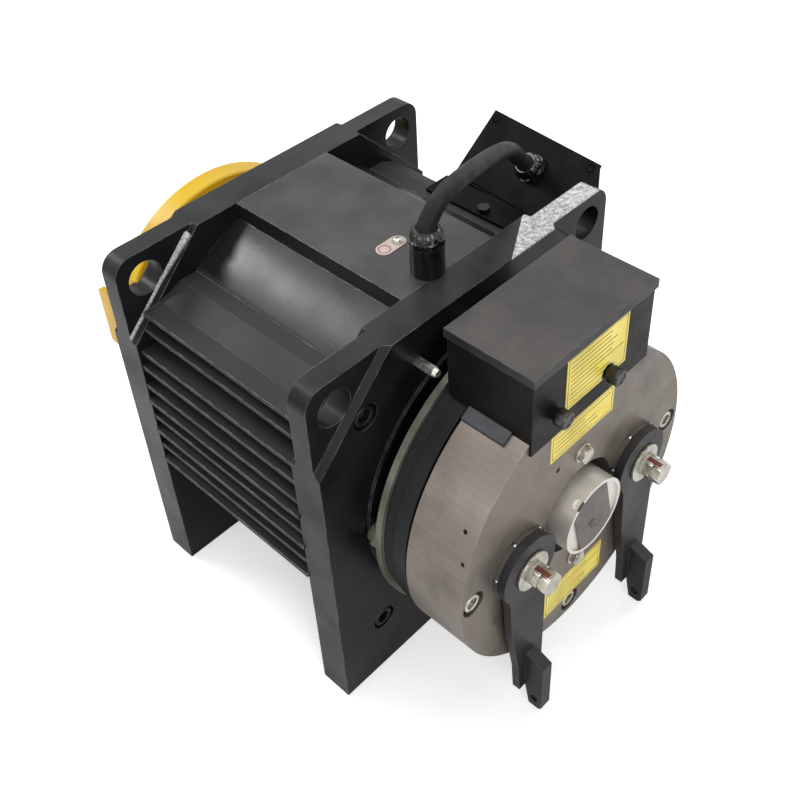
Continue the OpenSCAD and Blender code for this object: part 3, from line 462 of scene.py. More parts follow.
@dataclass(frozen=True)
class Finish:
    """A surface as it is made and used.

    Lengths are in millimetres. Roughness runs between its two values with the patches, relief is the height
    of the grain, edge is the radius that rounds sharp corners in the shading, and the edge colour is painted
    there: wear, and on some finishes partly a painted highlight along the edges.
    """

    name: str
    colour: str
    shade: str
    roughness: tuple[float, float] = (0.3, 0.5)
    metallic: float = 0.0
    patch: float = 60.0
    grain: float = 3.0
    relief: float = 0.05
    edge: float = 0.8
    # Edge colour and its share: wear, and on some finishes partly a painted highlight along the edges.
    edge_glint_and_wear: str = ""
    edge_glint_and_wear_share: float = 0.5
    # Colour and share on what faces up: dust, and on some finishes partly a painted sheen.
    dust: str = ""
    dust_and_sheen_share: float = 0.0
    gloss: float = 0.5

    def material(self) -> bpy.types.Material:
        """Builds the material, or returns it when it is there already."""
        found = bpy.data.materials.get(self.name)
        if found:
            return found
        made = bpy.data.materials.new(self.name)
        tree = bare_tree(made)
        where = add_node(tree, "TexCoord").outputs["Object"]
        rounded = add_node(tree, "Bevel", {"samples": 4, "Radius": self.edge * MM}).outputs["Normal"]
        colour = self.tint(tree, where)
        rough = self.dullness(tree, where)
        # Edge colour: wear, and on some finishes a painted highlight along the edges.
        if self.edge_glint_and_wear:
            mask = self.corners(tree, where, rounded)
            colour = blend_colours(tree, mask, colour, self.edge_glint_and_wear)
        # Lighter colour in patches on what faces up: dust, and on some finishes partly a painted sheen.
        if self.dust:
            mask = self.dust_and_sheen_mask(tree, where)
            colour = blend_colours(tree, mask, colour, self.dust)
            rough = maths(tree, "MAXIMUM", rough, product(tree, mask, DUST_AND_SHEEN_DULLNESS))
        bump = add_node(tree, "Bump", {"Distance": self.relief * MM},
                        {"Height": self.height(tree, where), "Normal": rounded})
        shader = add_node(tree, "BsdfPrincipled",
                          {"Metallic": self.metallic, "Specular IOR Level": self.gloss},
                          {"Base Color": colour, "Roughness": rough, "Normal": bump.outputs["Normal"]})
        add_node(tree, "OutputMaterial", {}, {"Surface": shader.outputs[0]})
        return made

    def tint(self, tree: Tree, where: Socket) -> Socket:
        """Colour in soft patches."""
        return blend_colours(tree, ramp(tree, noise(tree, where, self.patch), 0.35, 0.65), self.colour,
                             self.shade)

    def dullness(self, tree: Tree, where: Socket) -> Socket:
        """Roughness in soft patches."""
        return ramp(tree, noise(tree, where, self.patch * 0.6), 0.35, 0.65, *self.roughness)

    def height(self, tree: Tree, where: Socket) -> Socket:
        """Height of the grain, from 0 to 1."""
        return noise(tree, where, self.grain, 2.0)

    def corners(self, tree: Tree, where: Socket, rounded: Socket) -> Socket:
        """Share of the edge colour, which is where the rounded normal leaves the flat one: wear, and on some
        finishes a painted highlight along the edges.
        """
        flat = add_node(tree, "NewGeometry").outputs["Normal"]
        along = add_node(tree, "VectorMath", {"operation": "DOT_PRODUCT"},
                         {0: flat, 1: rounded}).outputs["Value"]
        broken = ramp(tree, noise(tree, where, 9.0, 4.0), 0.42, 0.6, 0.15, 1.0)
        return product(tree, ramp(tree, along, 0.995, 0.9), broken, self.edge_glint_and_wear_share)

    def dust_and_sheen_mask(self, tree: Tree, where: Socket) -> Socket:
        """Share of the lighter colour on what faces up, in patches: dust, and on some finishes partly a painted
        sheen.
        """
        flat = add_node(tree, "NewGeometry").outputs["Normal"]
        up = ramp(tree, axes_of(tree, flat)["Z"], 0.55, 1.0)
        patches = ramp(tree, noise(tree, where, 45.0, 4.0, 0.55), 0.22, 0.9)
        return product(tree, up, patches, self.dust_and_sheen_share)


@dataclass(frozen=True)
class PaintedHighlightEnamel(Finish):
    """Enamel with a painted highlight along one slanting band: mottled bright specks that stand in for a lamp's
    reflection.

    The band holds the points inside the box from low to high, in metres, whose distance along the direction
    across lies between start and start + width.
    """

    low: tuple[float, float, float] = (0.0, 0.0, 0.0)
    high: tuple[float, float, float] = (0.0, 0.0, 0.0)
    across: tuple[float, float, float] = (1.0, 0.0, 0.0)
    start: float = 0.0
    width: float = 0.1
    speck: float = 2.6
    # Colour of the painted highlight's specks.
    painted_highlight: str = "#e9ecec"

    def tint(self, tree: Tree, where: Socket) -> Socket:
        """Enamel colour, and the bright specks of the painted highlight in the band."""
        colour = super().tint(tree, where)
        axes = axes_of(tree, where)
        along = add_node(tree, "VectorMath", {"operation": "DOT_PRODUCT", 1: self.across},
                         {0: where}).outputs["Value"]
        mask = product(tree, ramp(tree, along, self.start, self.start + 0.6 * MM),
                       maths(tree, "LESS_THAN", along, self.start + self.width))
        for axis, low, high in zip("XYZ", self.low, self.high):
            mask = product(tree, mask, between(tree, axes[axis], low, high))
        # Painted highlight: bright specks over the band.
        specks = ramp(tree, noise(tree, where, self.speck, 5.0, 0.75), 0.36, 0.62, 0.25, 1.0)
        return blend_colours(tree, product(tree, mask, specks), colour, self.painted_highlight)


@dataclass(frozen=True)
class CastPaint(Finish):
    """Paint over a sand-cast skin: coarse sand grain with shallow dents under it.

    The lighter colour of dust and painted sheen lies on what faces up above dust_and_sheen_from, and the paint has
    its full sheen above sheen_from, both heights in metres.
    """

    dust_and_sheen_from: float = 0.45
    sheen_from: float = 0.408
    dull: float = 0.3

    def height(self, tree: Tree, where: Socket) -> Socket:
        """Sand grain on shallow dents ten times as wide."""
        sand = noise(tree, where, self.grain, 3.0, 0.6)
        dents = noise(tree, where, self.grain * 10, 2.0)
        return maths(tree, "ADD", sand, product(tree, dents, 2.5))

    def dullness(self, tree: Tree, where: Socket) -> Socket:
        """Roughness in soft patches, with more below the height where the sheen starts."""
        height = axes_of(tree, where)["Z"]
        below = ramp(tree, height, self.sheen_from - 3 * MM, self.sheen_from, self.dull, 0.0)
        return maths(tree, "ADD", super().dullness(tree, where), below)

    def dust_and_sheen_mask(self, tree: Tree, where: Socket) -> Socket:
        """Share of the lighter colour on what faces up above a height: dust, and partly a painted sheen on the
        rail top.
        """
        height = axes_of(tree, where)["Z"]
        return product(tree, super().dust_and_sheen_mask(tree, where),
                       maths(tree, "GREATER_THAN", height, self.dust_and_sheen_from))


@dataclass(frozen=True)
class Turned(Finish):
    """Metal turned on a lathe: fine rings about an axis along Y through centre, in metres."""

    centre: tuple[float, float] = (0.0, SHAFT_Z)
    pitch: float = 0.8
    stain: str = ""

    def radius(self, tree: Tree, where: Socket) -> Socket:
        """Distance from the axis in metres."""
        moved = add_node(tree, "Mapping", {"Location": (-self.centre[0], 0, -self.centre[1]),
                                           "Scale": (1, 0, 1)},
                         {"Vector": where}).outputs[0]
        return add_node(tree, "VectorMath", {"operation": "LENGTH"}, {0: moved}).outputs["Value"]

    def rings(self, tree: Tree, where: Socket) -> Socket:
        """Uneven fine rings."""
        count = product(tree, self.radius(tree, where), 1 / (self.pitch * MM))
        return add_node(tree, "TexNoise", {"noise_dimensions": "1D", "Scale": 1.0, "Detail": 3.0},
                        {"W": count}).outputs[0]

    def tint(self, tree: Tree, where: Socket) -> Socket:
        """Rings of two colours, with stains where a stain colour is given."""
        colour = blend_colours(tree, ramp(tree, self.rings(tree, where), 0.3, 0.7), self.colour, self.shade)
        if not self.stain:
            return colour
        blots = ramp(tree, noise(tree, where, self.patch, 6.0, 0.62), 0.5, 0.72, 0.0, 0.75)
        return blend_colours(tree, blots, colour, self.stain)

    def height(self, tree: Tree, where: Socket) -> Socket:
        """Height of the rings."""
        return self.rings(tree, where)


@dataclass(frozen=True)
class Banded(Finish):
    """Metal in even bands: wound strands side by side, or stamped sheets stacked with thin gaps.

    Scale is the number of bands in a millimetre times 0.16, and bands holds the node's other settings.
    """

    scale: float = 0.16
    bands: tuple[tuple[str, str | float], ...] = ()

    def height(self, tree: Tree, where: Socket) -> Socket:
        """Height of the bands."""
        return add_node(tree, "TexWave", {"Scale": self.scale / MM, **dict(self.bands)},
                        {"Vector": where}).outputs["Fac"]


@dataclass(frozen=True)
class FilmLabel(Finish):
    """Printed film: a dark frame line and blank ruled lines on each window (x0, z0, x1, z1) in metres.

    The rest is in millimetres: margin is the blank edge, line the width of the frame line, indent the space
    from margin to the ruled lines and pitch their spacing. Rule is the inked share of the pitch.
    """

    windows: tuple[tuple[float, float, float, float], ...] = ()
    ink: str = "#3a3520"
    margin: float = 2.5
    line: float = 0.9
    indent: float = 3.5
    pitch: float = 5.5
    rule: float = 0.2

    def tint(self, tree: Tree, where: Socket) -> Socket:
        """Film colour with the printed lines."""
        colour = super().tint(tree, where)
        axes = axes_of(tree, where)
        for x0, z0, x1, z1 in self.windows:
            half = ((x1 - x0) / 2, (z1 - z0) / 2)
            aside = [maths(tree, "SUBTRACT", half[k],
                           maths(tree, "ABSOLUTE", maths(tree, "SUBTRACT", axes[name], middle)))
                     for k, (name, middle) in enumerate((("X", (x0 + x1) / 2), ("Z", (z0 + z1) / 2)))]
            inset = maths(tree, "MINIMUM", aside[0], aside[1])
            frame_line = between(tree, inset, self.margin * MM, (self.margin + self.line) * MM)
            row = maths(tree, "DIVIDE", maths(tree, "SUBTRACT", axes["Z"], z0), self.pitch * MM)
            ruled = product(tree, maths(tree, "LESS_THAN", maths(tree, "FRACT", row), self.rule),
                            maths(tree, "GREATER_THAN", inset, (self.margin + self.indent) * MM))
            ends = add_node(tree, "TexNoise", {"noise_dimensions": "1D", "Scale": 3.1},
                            {"W": maths(tree, "FLOOR", row)})
            length = product(tree, ramp(tree, ends.outputs[0], 0.3, 0.7, 0.45, 0.97), x1 - x0)
            along = maths(tree, "SUBTRACT", axes["X"], x0)
            ruled = product(tree, ruled, maths(tree, "LESS_THAN", along, length))
            colour = blend_colours(tree, maths(tree, "MAXIMUM", frame_line, ruled), colour, self.ink)
        return colour


# ---- materials of this machine ----

# Gloss black enamel brushed over machined plate: near black, soft sheen. Its grey along the corners is partly wear
# and partly a painted highlight, and its lighter grey on what faces up is partly dust and partly a painted sheen.
ENAMEL_COAT = {"colour": "#0d0e0f", "shade": "#17181a", "roughness": (0.24, 0.42), "grain": 2.2,
               "relief": 0.03,
               "edge": 1.2, "edge_glint_and_wear": "#8b8d91", "edge_glint_and_wear_share": 0.8, "dust": "#5c5a58", "dust_and_sheen_share": 0.4, "gloss": 0.22}
ENAMEL = Finish("gloss_black_enamel", **ENAMEL_COAT)
# The near plate's top edge has a painted highlight at its right end: mottled bright specks in place of a lamp's
# reflection.
NEAR_ENAMEL = PaintedHighlightEnamel("gloss_black_enamel_painted_highlight_band", **ENAMEL_COAT, low=(0.03, -0.17, 0.4565),
                           high=(0.206, -0.12, 0.46), across=(1.0, -1.635, 0.0),
                           start=0.3155, width=1.0)
# The far plate's left lug has a painted highlight along its slanting edge: a narrow strip of bright specks in
# place of a lamp's reflection.
FAR_ENAMEL = PaintedHighlightEnamel("gloss_black_enamel_painted_highlight_edge", **ENAMEL_COAT, low=(-0.222, 0.121, 0.36),
                          high=(-0.127, 0.1315, 0.452), across=(-0.6965, 0.0, 0.7175),
                          start=0.4106, width=0.0048, speck=2.0)
# The same enamel over the sand-cast housing: its grain and shallow dents show in the highlights. Its bright edge
# colour is a painted highlight along the fin tips and edges, and its dust colour on the rail top is partly dust
# and partly a painted sheen.
CAST = CastPaint("painted_sand_casting", "#111214", "#1a1b1d", (0.26, 0.36), grain=2.6, relief=0.1, edge=0.75,
                 edge_glint_and_wear="#bfc2c7", edge_glint_and_wear_share=1.0, dust="#6a6768", dust_and_sheen_share=0.55, gloss=0.5)
# Nitrided steel, turned: dark with faint rings.
ARMATURE = Turned("nitrided_armature_steel", "#101113", "#17181a", (0.35, 0.55), metallic=0.2, edge=0.8,
                  edge_glint_and_wear="#4a4b4d", edge_glint_and_wear_share=0.6, relief=0.02, gloss=0.3)
# Satin stove paint on forged levers: dark grey, dusty where it faces up.
LEVER = Finish("satin_black_lever_paint", "#17171a", "#222226", (0.38, 0.52), grain=1.6, relief=0.04,
               edge=1.0,
               edge_glint_and_wear="#77746e", edge_glint_and_wear_share=0.65, dust="#5d5850", dust_and_sheen_share=0.3, gloss=0.35)
# Powder-coated steel sheet: fine orange peel, black, rubbed to grey along its folds.
SHEET = Finish("black_powder_coated_sheet", "#080809", "#0f0f0f", (0.3, 0.46), patch=35, grain=0.9,
               relief=0.03,
               edge=1.2, edge_glint_and_wear="#5c5d60", edge_glint_and_wear_share=0.5, gloss=0.15)
# The terminal box has a duller coat of the same powder.
MATT_SHEET = Finish("matt_black_powder_coated_sheet", "#080808", "#0e0e0d", (0.42, 0.56), patch=35, grain=0.9,
                    relief=0.03, edge=1.2, edge_glint_and_wear="#4c4d50", edge_glint_and_wear_share=0.45, gloss=0.06)
# The lid of the brake cover lies flat: its lighter grey on top is partly workshop dust and partly a painted sheen,
# and its pale edge lines are partly wear and partly a painted highlight.
LID_SHEET = Finish("powder_coated_lid_sheet", "#151517", "#1f1f22", (0.3, 0.46), patch=35, grain=0.9,
                     relief=0.03,
                     edge=1.2, edge_glint_and_wear="#8a8c90", edge_glint_and_wear_share=0.6, dust="#76706a", dust_and_sheen_share=0.45, gloss=0.4)
# Black-oxide socket screws: deep grey with bright rims.
OXIDE = Finish("black_oxide_steel", "#121314", "#1d1e20", (0.28, 0.45), metallic=0.4, patch=8, grain=0.8,
               relief=0.02, edge=0.4, edge_glint_and_wear="#7a7b7c", edge_glint_and_wear_share=0.6)
# Electroplated zinc: bright with a warm cast and grime in its corners.
ZINC = Finish("bright_zinc_plate", "#d8d5cb", "#b0ada0", (0.18, 0.36), metallic=0.95, patch=7, grain=0.7,
              relief=0.015,
              edge=0.4, edge_glint_and_wear="#8d8778", edge_glint_and_wear_share=0.4)
# Zinc passivated to a pale straw green.
YELLOW_ZINC = Finish("yellow_passivated_zinc", "#8b897b", "#66655a", (0.38, 0.55), metallic=0.6, patch=24,
                     grain=1.2,
                     relief=0.03, edge=0.5, edge_glint_and_wear="#d8d6c6", edge_glint_and_wear_share=0.4)
# Ground and polished bearing steel: mirror bright.
GROUND = Finish("ground_bearing_steel", "#d3d5d8", "#c2c4c8", (0.12, 0.2), metallic=1.0, grain=0.8,
                relief=0.01, edge=0.3)
# Mild steel off the lathe: fine rings.
STEEL = Turned("turned_steel", "#b6b7b8", "#8f9193", (0.28, 0.42), metallic=0.95, relief=0.03, edge=0.5)
# Unpainted grey cast iron: dark, rough grain.
IRON = CastPaint("bare_cast_iron", "#5c5e60", "#494b4d", (0.5, 0.65), metallic=0.6, grain=2.4, relief=0.12)
# Nickel-plated magnet blocks: smooth and warm grey.
MAGNET = Finish("nickel_plated_magnet", "#a9a9a4", "#8e8e89", (0.25, 0.35), metallic=0.95, grain=1.5,
                relief=0.02)
# Enamelled copper wire, wound: red-brown parallel strands.
COPPER = Banded("enamelled_copper_wire", "#9c4f22", "#7a3512", (0.25, 0.4), metallic=0.7, relief=0.35,
                scale=0.16 / 1.2, bands=(("bands_direction", "DIAGONAL"), ("Distortion", 1.2),
                                         ("Detail", 1.0)))
# Spring steel with a film of oil.
SPRINGS = Finish("oiled_spring_steel", "#6d6f72", "#515356", (0.25, 0.4), metallic=0.9, grain=1.0,
                 relief=0.02)
# Stamped silicon-steel sheets, stacked: bright edges with thin gaps.
CORE = Banded("stamped_core_sheets", "#7d7f82", "#63656a", (0.35, 0.5), metallic=0.8, relief=0.1,
              scale=0.157, bands=(("bands_direction", "Y"), ("wave_profile", "SAW")))
# The brake's magnet body, turned mild steel left bare: warm grey rings, stained by handling and rust film.
YOKE = Turned("turned_magnet_body", "#8a817a", "#71685f", (0.3, 0.48), metallic=0.6, patch=38, relief=0.03,
              edge=1.0,
              edge_glint_and_wear="#c4bcb2", edge_glint_and_wear_share=0.6, stain="#5e5852", pitch=0.9)
# Turned aluminium cap: bright, with fine rings.
CAP = Turned("bright_turned_aluminium", "#f0ebe4", "#dbd6ce", (0.22, 0.36), metallic=0.55, relief=0.03,
             edge=0.5, pitch=0.6)
# Anodised aluminium panel: matt brown grey with rubbed corners.
PANEL = Finish("anodised_cap_panel", "#69625f", "#5b5553", (0.3, 0.42), metallic=0.5, patch=20, grain=1.0,
               relief=0.01,
               edge=0.4, edge_glint_and_wear="#b5aea4", edge_glint_and_wear_share=0.5)
# Hardened release rings, turned and oiled.
RING = Turned("turned_release_ring", "#77726b", "#615c56", (0.3, 0.45), metallic=0.75, relief=0.02, edge=0.5,
              stain="#3c3833", patch=18)
# Moulded glass-filled polyamide: near black with a wet gloss.
PLASTIC = Finish("moulded_black_polyamide", "#0a0a0b", "#111213", (0.16, 0.28), grain=0.7, relief=0.02,
                 edge=0.5, gloss=0.6)
# Pale terminal plastic, moulded: satin.
BLOCK = Finish("moulded_terminal_plastic", "#9a988c", "#8a877c", (0.4, 0.5), grain=0.9, relief=0.03, edge=0.4)
# Extruded rubber cable jacket: matt, greyed on top by dust.
JACKET = Finish("matt_cable_jacket", "#19191a", "#242425", (0.45, 0.6), patch=14, grain=1.1, relief=0.06,
                edge=0.3,
                dust="#68655f", dust_and_sheen_share=0.15, gloss=0.18)
# Moulded rubber: matt black.
RUBBER = Finish("moulded_black_rubber", "#0d0d0e", "#161617", (0.5, 0.66), patch=20, grain=1.3, relief=0.06,
                edge=0.5,
                gloss=0.3)
# Foam seal cord: dark grey and soft.
SEAL = Finish("dark_grey_seal_cord", "#3c3d42", "#2e2f33", (0.45, 0.6), patch=16, grain=1.2, relief=0.05,
              edge=0.8)
# Pressed friction lining: brown grit.
LINING = CastPaint("pressed_friction_lining", "#2e2a27", "#3a3531", (0.7, 0.85), grain=1.5, relief=0.1)
# Brush dab of locking paint.
PAINT_MARK = Finish("red_brown_paint_mark", "#6e2f24", "#572218", (0.45, 0.6), patch=3, grain=0.6,
                    relief=0.05, edge=0.2)
# Dull red printing ink.
PRINT = Finish("red_printing_ink", "#7a3a36", "#6a302d", (0.45, 0.6), patch=3, grain=0.6, relief=0.005,
               edge=0.1)
# Printed tag: dusty pink white.
TAG = Finish("pale_printed_tag", "#c4b2ac", "#b19f99", (0.35, 0.5), patch=8, grain=0.6, relief=0.015,
             edge=0.2)


@dataclass(frozen=True)
class YellowPaint(Turned):
    """Brushed yellow gloss, with bright steel where the ropes run in the grooves.

    The grooves lie between two places along Y. They are bare from the radius groove_floor to groove_top.
    """

    grooves: tuple[float, float] = (0.0, 0.0)
    groove_top: float = 0.1448
    groove_floor: float = 0.13

    def tint(self, tree: Tree, where: Socket) -> Socket:
        """Yellow in soft patches, and steel rubbed bare by the ropes between the grooves' two planes near their
        own radius.
        """
        colour = Finish.tint(self, tree, where)
        along = axes_of(tree, where)["Y"]
        radius = self.radius(tree, where)
        deep = product(tree, ramp(tree, radius, self.groove_top, self.groove_top - 1.2 * MM),
                       maths(tree, "GREATER_THAN", radius, self.groove_floor))
        return blend_colours(tree, product(tree, between(tree, along, *self.grooves), deep), colour,
                             "#8d8b86")

    def height(self, tree: Tree, where: Socket) -> Socket:
        """Brush marks and runs."""
        return noise(tree, where, self.grain, 3.0)


# ---- sub-assemblies ----

TOWARDS = Vector((0, -1, 0))
AWAY = Vector((0, 1, 0))
UP = Vector((0, 0, 1))


def corner_drop(half: float) -> float:
    """Depth to which a chamfer cuts a hexagon's corners, from half its width across flats, in millimetres."""
    return (2 / math.sqrt(3) - 1) * half * 0.6


@dataclass(frozen=True)
class SocketScrew:
    """Socket-head screw in millimetres, its head top at the origin and its shank along -Z."""

    head_r: float
    head_h: float
    shank_r: float
    socket: float
    length: float
    chamfer: float = 0.9

    def shape(self) -> Shape:
        """Turns the screw with a knurled, chamfered head and a broached socket."""
        side = self.head_r - 0.25
        flat = self.socket / 2
        depth = 0.5 * self.head_h
        return stacked([
            Level(-self.length, self.shank_r - 1), Level(-self.length + 1, self.shank_r),
            Level(-self.head_h, self.shank_r), Level(-self.head_h, side - 0.4),
            Level(-self.head_h + 0.5, side),
            Level(-self.head_h + 0.6, self.head_r, KNURL), Level(-self.chamfer, self.head_r, KNURL),
            Level(-self.chamfer + 0.05, side), Level(-0.25, side - self.chamfer * 0.75),
            Level(0, side - self.chamfer - 0.3),
            Level(0, flat * 1.16), Level(-0.6, flat, HEX), Level(-depth, flat, HEX),
            Level(-depth - flat * 0.45, 0.2)])


@dataclass(frozen=True)
class HexScrew:
    """Hexagon-head screw in millimetres, its head top at the origin and its shank along -Z."""

    flats: float
    head_h: float
    shank_r: float
    length: float
    washer_r: float = 0.0
    washer_t: float = 0.0

    def shape(self) -> Shape:
        """Turns the head with a chamfered top and a flange face, and the washer under it."""
        half = self.flats / 2
        drop = corner_drop(half)
        washer = [] if not self.washer_r else [
            Level(-self.head_h - self.washer_t, self.washer_r - 0.3),
            Level(-self.head_h - self.washer_t + 0.3, self.washer_r),
            Level(-self.head_h - 0.3, self.washer_r), Level(-self.head_h - 0.02, self.washer_r - 0.3)]
        return stacked([
            Level(-self.length, self.shank_r - 0.8), Level(-self.length + 0.8, self.shank_r),
            Level(-self.head_h - self.washer_t, self.shank_r), *washer,
            Level(-self.head_h, half * 0.98), Level(-self.head_h + 0.3, half * 0.98),
            Level(-self.head_h + 0.3, half, HEX, half * 1.1), Level(-self.head_h + drop, half, HEX),
            Level(-drop, half, HEX), Level(-drop * 0.4, half, HEX, half * 1.08),
            Level(0, half * 0.95), Level(-0.25, half * 0.88)])


@dataclass(frozen=True)
class FrameScrews:
    """Screws that hold the plates, the bearing cover and the brake."""

    tie: SocketScrew = SocketScrew(12, 16, 8, 14, 36)
    ring: SocketScrew = SocketScrew(8, 10, 5, 8, 40, 0.6)
    cover: SocketScrew = SocketScrew(6.5, 8, 4, 6, 33, 0.5)
    brake: SocketScrew = SocketScrew(10.5, 14, 7, 12, 150, 0.9)

    def build(self) -> None:
        """Makes one piece for each set, each screw with its head at the end of the CAD screw."""
        sets = (("tie_screw_set", "tie_screws", self.tie, TOWARDS, OXIDE),
                ("far_ring_screw_set", "far_frame_screws", self.ring, AWAY, OXIDE),
                ("bearing_cover_screw_set", "far_cover_screws", self.cover, AWAY, ZINC),
                ("brake_screw_set", "brake_screws", self.brake, TOWARDS, ZINC))
        for name, node, screw, out, finish in sets:
            places = solids(node)
            whole = replace(screw, length=places[0].size.y / MM)
            heads = [box.near_end if out is TOWARDS else box.far_end for box in places]
            piece(name, copies(whole.shape(), [facing(out, head) for head in heads]), finish, node)


@dataclass(frozen=True)
class ReleaseGear:
    """Two release bolts with nuts, washers and paint marks."""

    flats: float = 24.0
    washer_r: float = 22.5
    washer_t: float = 3.0
    stud_r: float = 8.0

    def build(self) -> None:
        """Makes the bolts, the nuts with their washers, and a stripe of locking paint on each."""
        half = self.flats / 2
        bolts = solids("release_bolts")
        nuts = node_box("release_nuts")
        head_h = (nuts.low.y - bolts[0].low.y) / MM
        bolt = HexScrew(self.flats, head_h, self.stud_r, bolts[0].size.y / MM)
        tops = [box.near_end for box in bolts]
        piece("release_bolt_set", copies(bolt.shape(), [facing(TOWARDS, top) for top in tops]), ZINC,
              "release_bolts")
        top = self.washer_t + (nuts.size.y / MM - self.washer_t)
        drop = corner_drop(half)
        nut = stacked([
            Level(0.02, self.stud_r), Level(0.02, self.washer_r - 0.4), Level(0.4, self.washer_r),
            Level(self.washer_t - 0.4, self.washer_r), Level(self.washer_t, self.washer_r - 0.4),
            Level(self.washer_t, half * 0.97), Level(self.washer_t + 0.3, half, HEX, half * 1.08),
            Level(self.washer_t + drop, half, HEX), Level(top - drop, half, HEX),
            Level(top - 0.3, half, HEX, half * 1.08), Level(top, half * 0.96),
            Level(top, self.stud_r + 0.6), Level(top - 0.6, self.stud_r + 0.05),
            Level(0.02, self.stud_r + 0.05)], ring=True)
        feet = [Vector((box.centre.x, nuts.high.y, box.centre.z)) for box in bolts]
        piece("release_nut_set", copies(nut, [facing(TOWARDS, foot) for foot in feet]), ZINC, "release_nuts")
        marks = bmesh.new()
        for box in bolts:
            stripe = block(Vector((6, 17, 0.5)) * MM, Vector(), 0.2 * MM)
            corner = Vector((box.centre.x - 2 * MM, box.low.y + 12 * MM,
                             box.centre.z + half * MM + 0.05 * MM))
            copies(stripe, [Matrix.Translation(corner)], marks)
        piece("release_paint_marks", marks, PAINT_MARK, "release_nuts", stands_in=False)


@dataclass(frozen=True)
class FaceScrews:
    """Two hexagon screws on washers in the face of the magnet body."""

    screw: HexScrew = HexScrew(17, 6.4, 5, 28.4, 11, 2)

    def build(self) -> None:
        """Makes both screws as one piece."""
        tops = [box.near_end for box in solids("face_screws")]
        piece("face_screw_set", copies(self.screw.shape(), [facing(TOWARDS, top) for top in tops]), ZINC,
              "face_screws")


@dataclass(frozen=True)
class ThumbScrews:
    """Knurled plastic thumb screws of the brake cover."""

    knob_r: float = 9.0
    knob_h: float = 16.0
    shank_r: float = 2.5

    def build(self) -> None:
        """Makes both knobs with a waist, a knurled rim and a dished top."""
        knobs = bmesh.new()
        for box in solids("thumb_screws"):
            r, h = self.knob_r, self.knob_h
            shape = stacked([
                Level(-box.size.y / MM, self.shank_r), Level(-h, self.shank_r), Level(-h, r - 2.2),
                Level(-h + 3.5, r - 2.2),
                Level(-h + 4.2, r - 0.6), Level(-h + 4.6, r, KNURL), Level(-0.9, r, KNURL),
                Level(-0.7, r - 0.3), Level(0, r - 1.1), Level(0, r - 2.6), Level(-0.8, r - 3.2),
                Level(-0.8, 0.4)])
            copies(shape, [facing(TOWARDS, box.near_end)], knobs)
        piece("knurled_thumb_screws", knobs, PLASTIC, "thumb_screws")


@dataclass(frozen=True)
class CableRun:
    """Motor cable between two glands, with points in metres."""

    radius: float = 9.4
    route: tuple[tuple[float, float, float], ...] = (
        (-0.016, -0.111, 0.46), (-0.016, -0.111, 0.492), (-0.016, -0.111, 0.51),
        (-0.0102, -0.1122, 0.5211), (-0.00313, -0.11341, 0.53078), (0.00773, -0.11382, 0.53746),
        (0.0249, -0.11173, 0.53954), (0.04953, -0.10555, 0.536), (0.08092, -0.09538, 0.52704),
        (0.11642, -0.08251, 0.51458), (0.15231, -0.06674, 0.49642), (0.18064, -0.05266, 0.47658),
        (0.2031, -0.0406, 0.4559), (0.2162, -0.0419, 0.4407), (0.2293, -0.0432, 0.4256))
    steps: int = 8

    def points(self) -> list[Vector]:
        """Smooth points along the route.

        Returns:
            Points on the same curve through the route's points as the CAD cable has.
        """
        path = [Vector(p) for p in self.route]
        ends = [path[0], *path, path[-1]]
        found = []
        for a, b, c, d in zip(ends, ends[1:], ends[2:], [*ends[3:], path[-1]][:len(path) - 1]):
            for k in range(self.steps):
                t = k / self.steps
                found.append(b + t * (c - a) / 2 + t * t * (a - 2.5 * b + 2 * c - d / 2)
                             + t * t * t * (1.5 * (b - c) + (d - a) / 2))
        return [*found, path[-1]]

    def build(self) -> None:
        """Makes the cable as one round tube."""
        curve = bpy.data.curves.new("motor_cable_path", "CURVE")
        curve.dimensions, curve.bevel_depth, curve.bevel_resolution = "3D", self.radius * MM, 10
        curve.use_fill_caps = True
        line = curve.splines.new("POLY")
        points = self.points()
        line.points.add(len(points) - 1)
        for point, place in zip(line.points, points):
            point.co = (*place, 1.0)
        obj = linked("motor_cable_path", curve)
        bpy.context.view_layer.update()
        mesh = bpy.data.meshes.new_from_object(obj)
        bm = bmesh.new()
        bm.from_mesh(mesh)
        bpy.data.objects.remove(obj)
        piece("motor_cable", bm, JACKET, "cable")
        bpy.data.meshes.remove(mesh)
        bpy.data.curves.remove(curve)


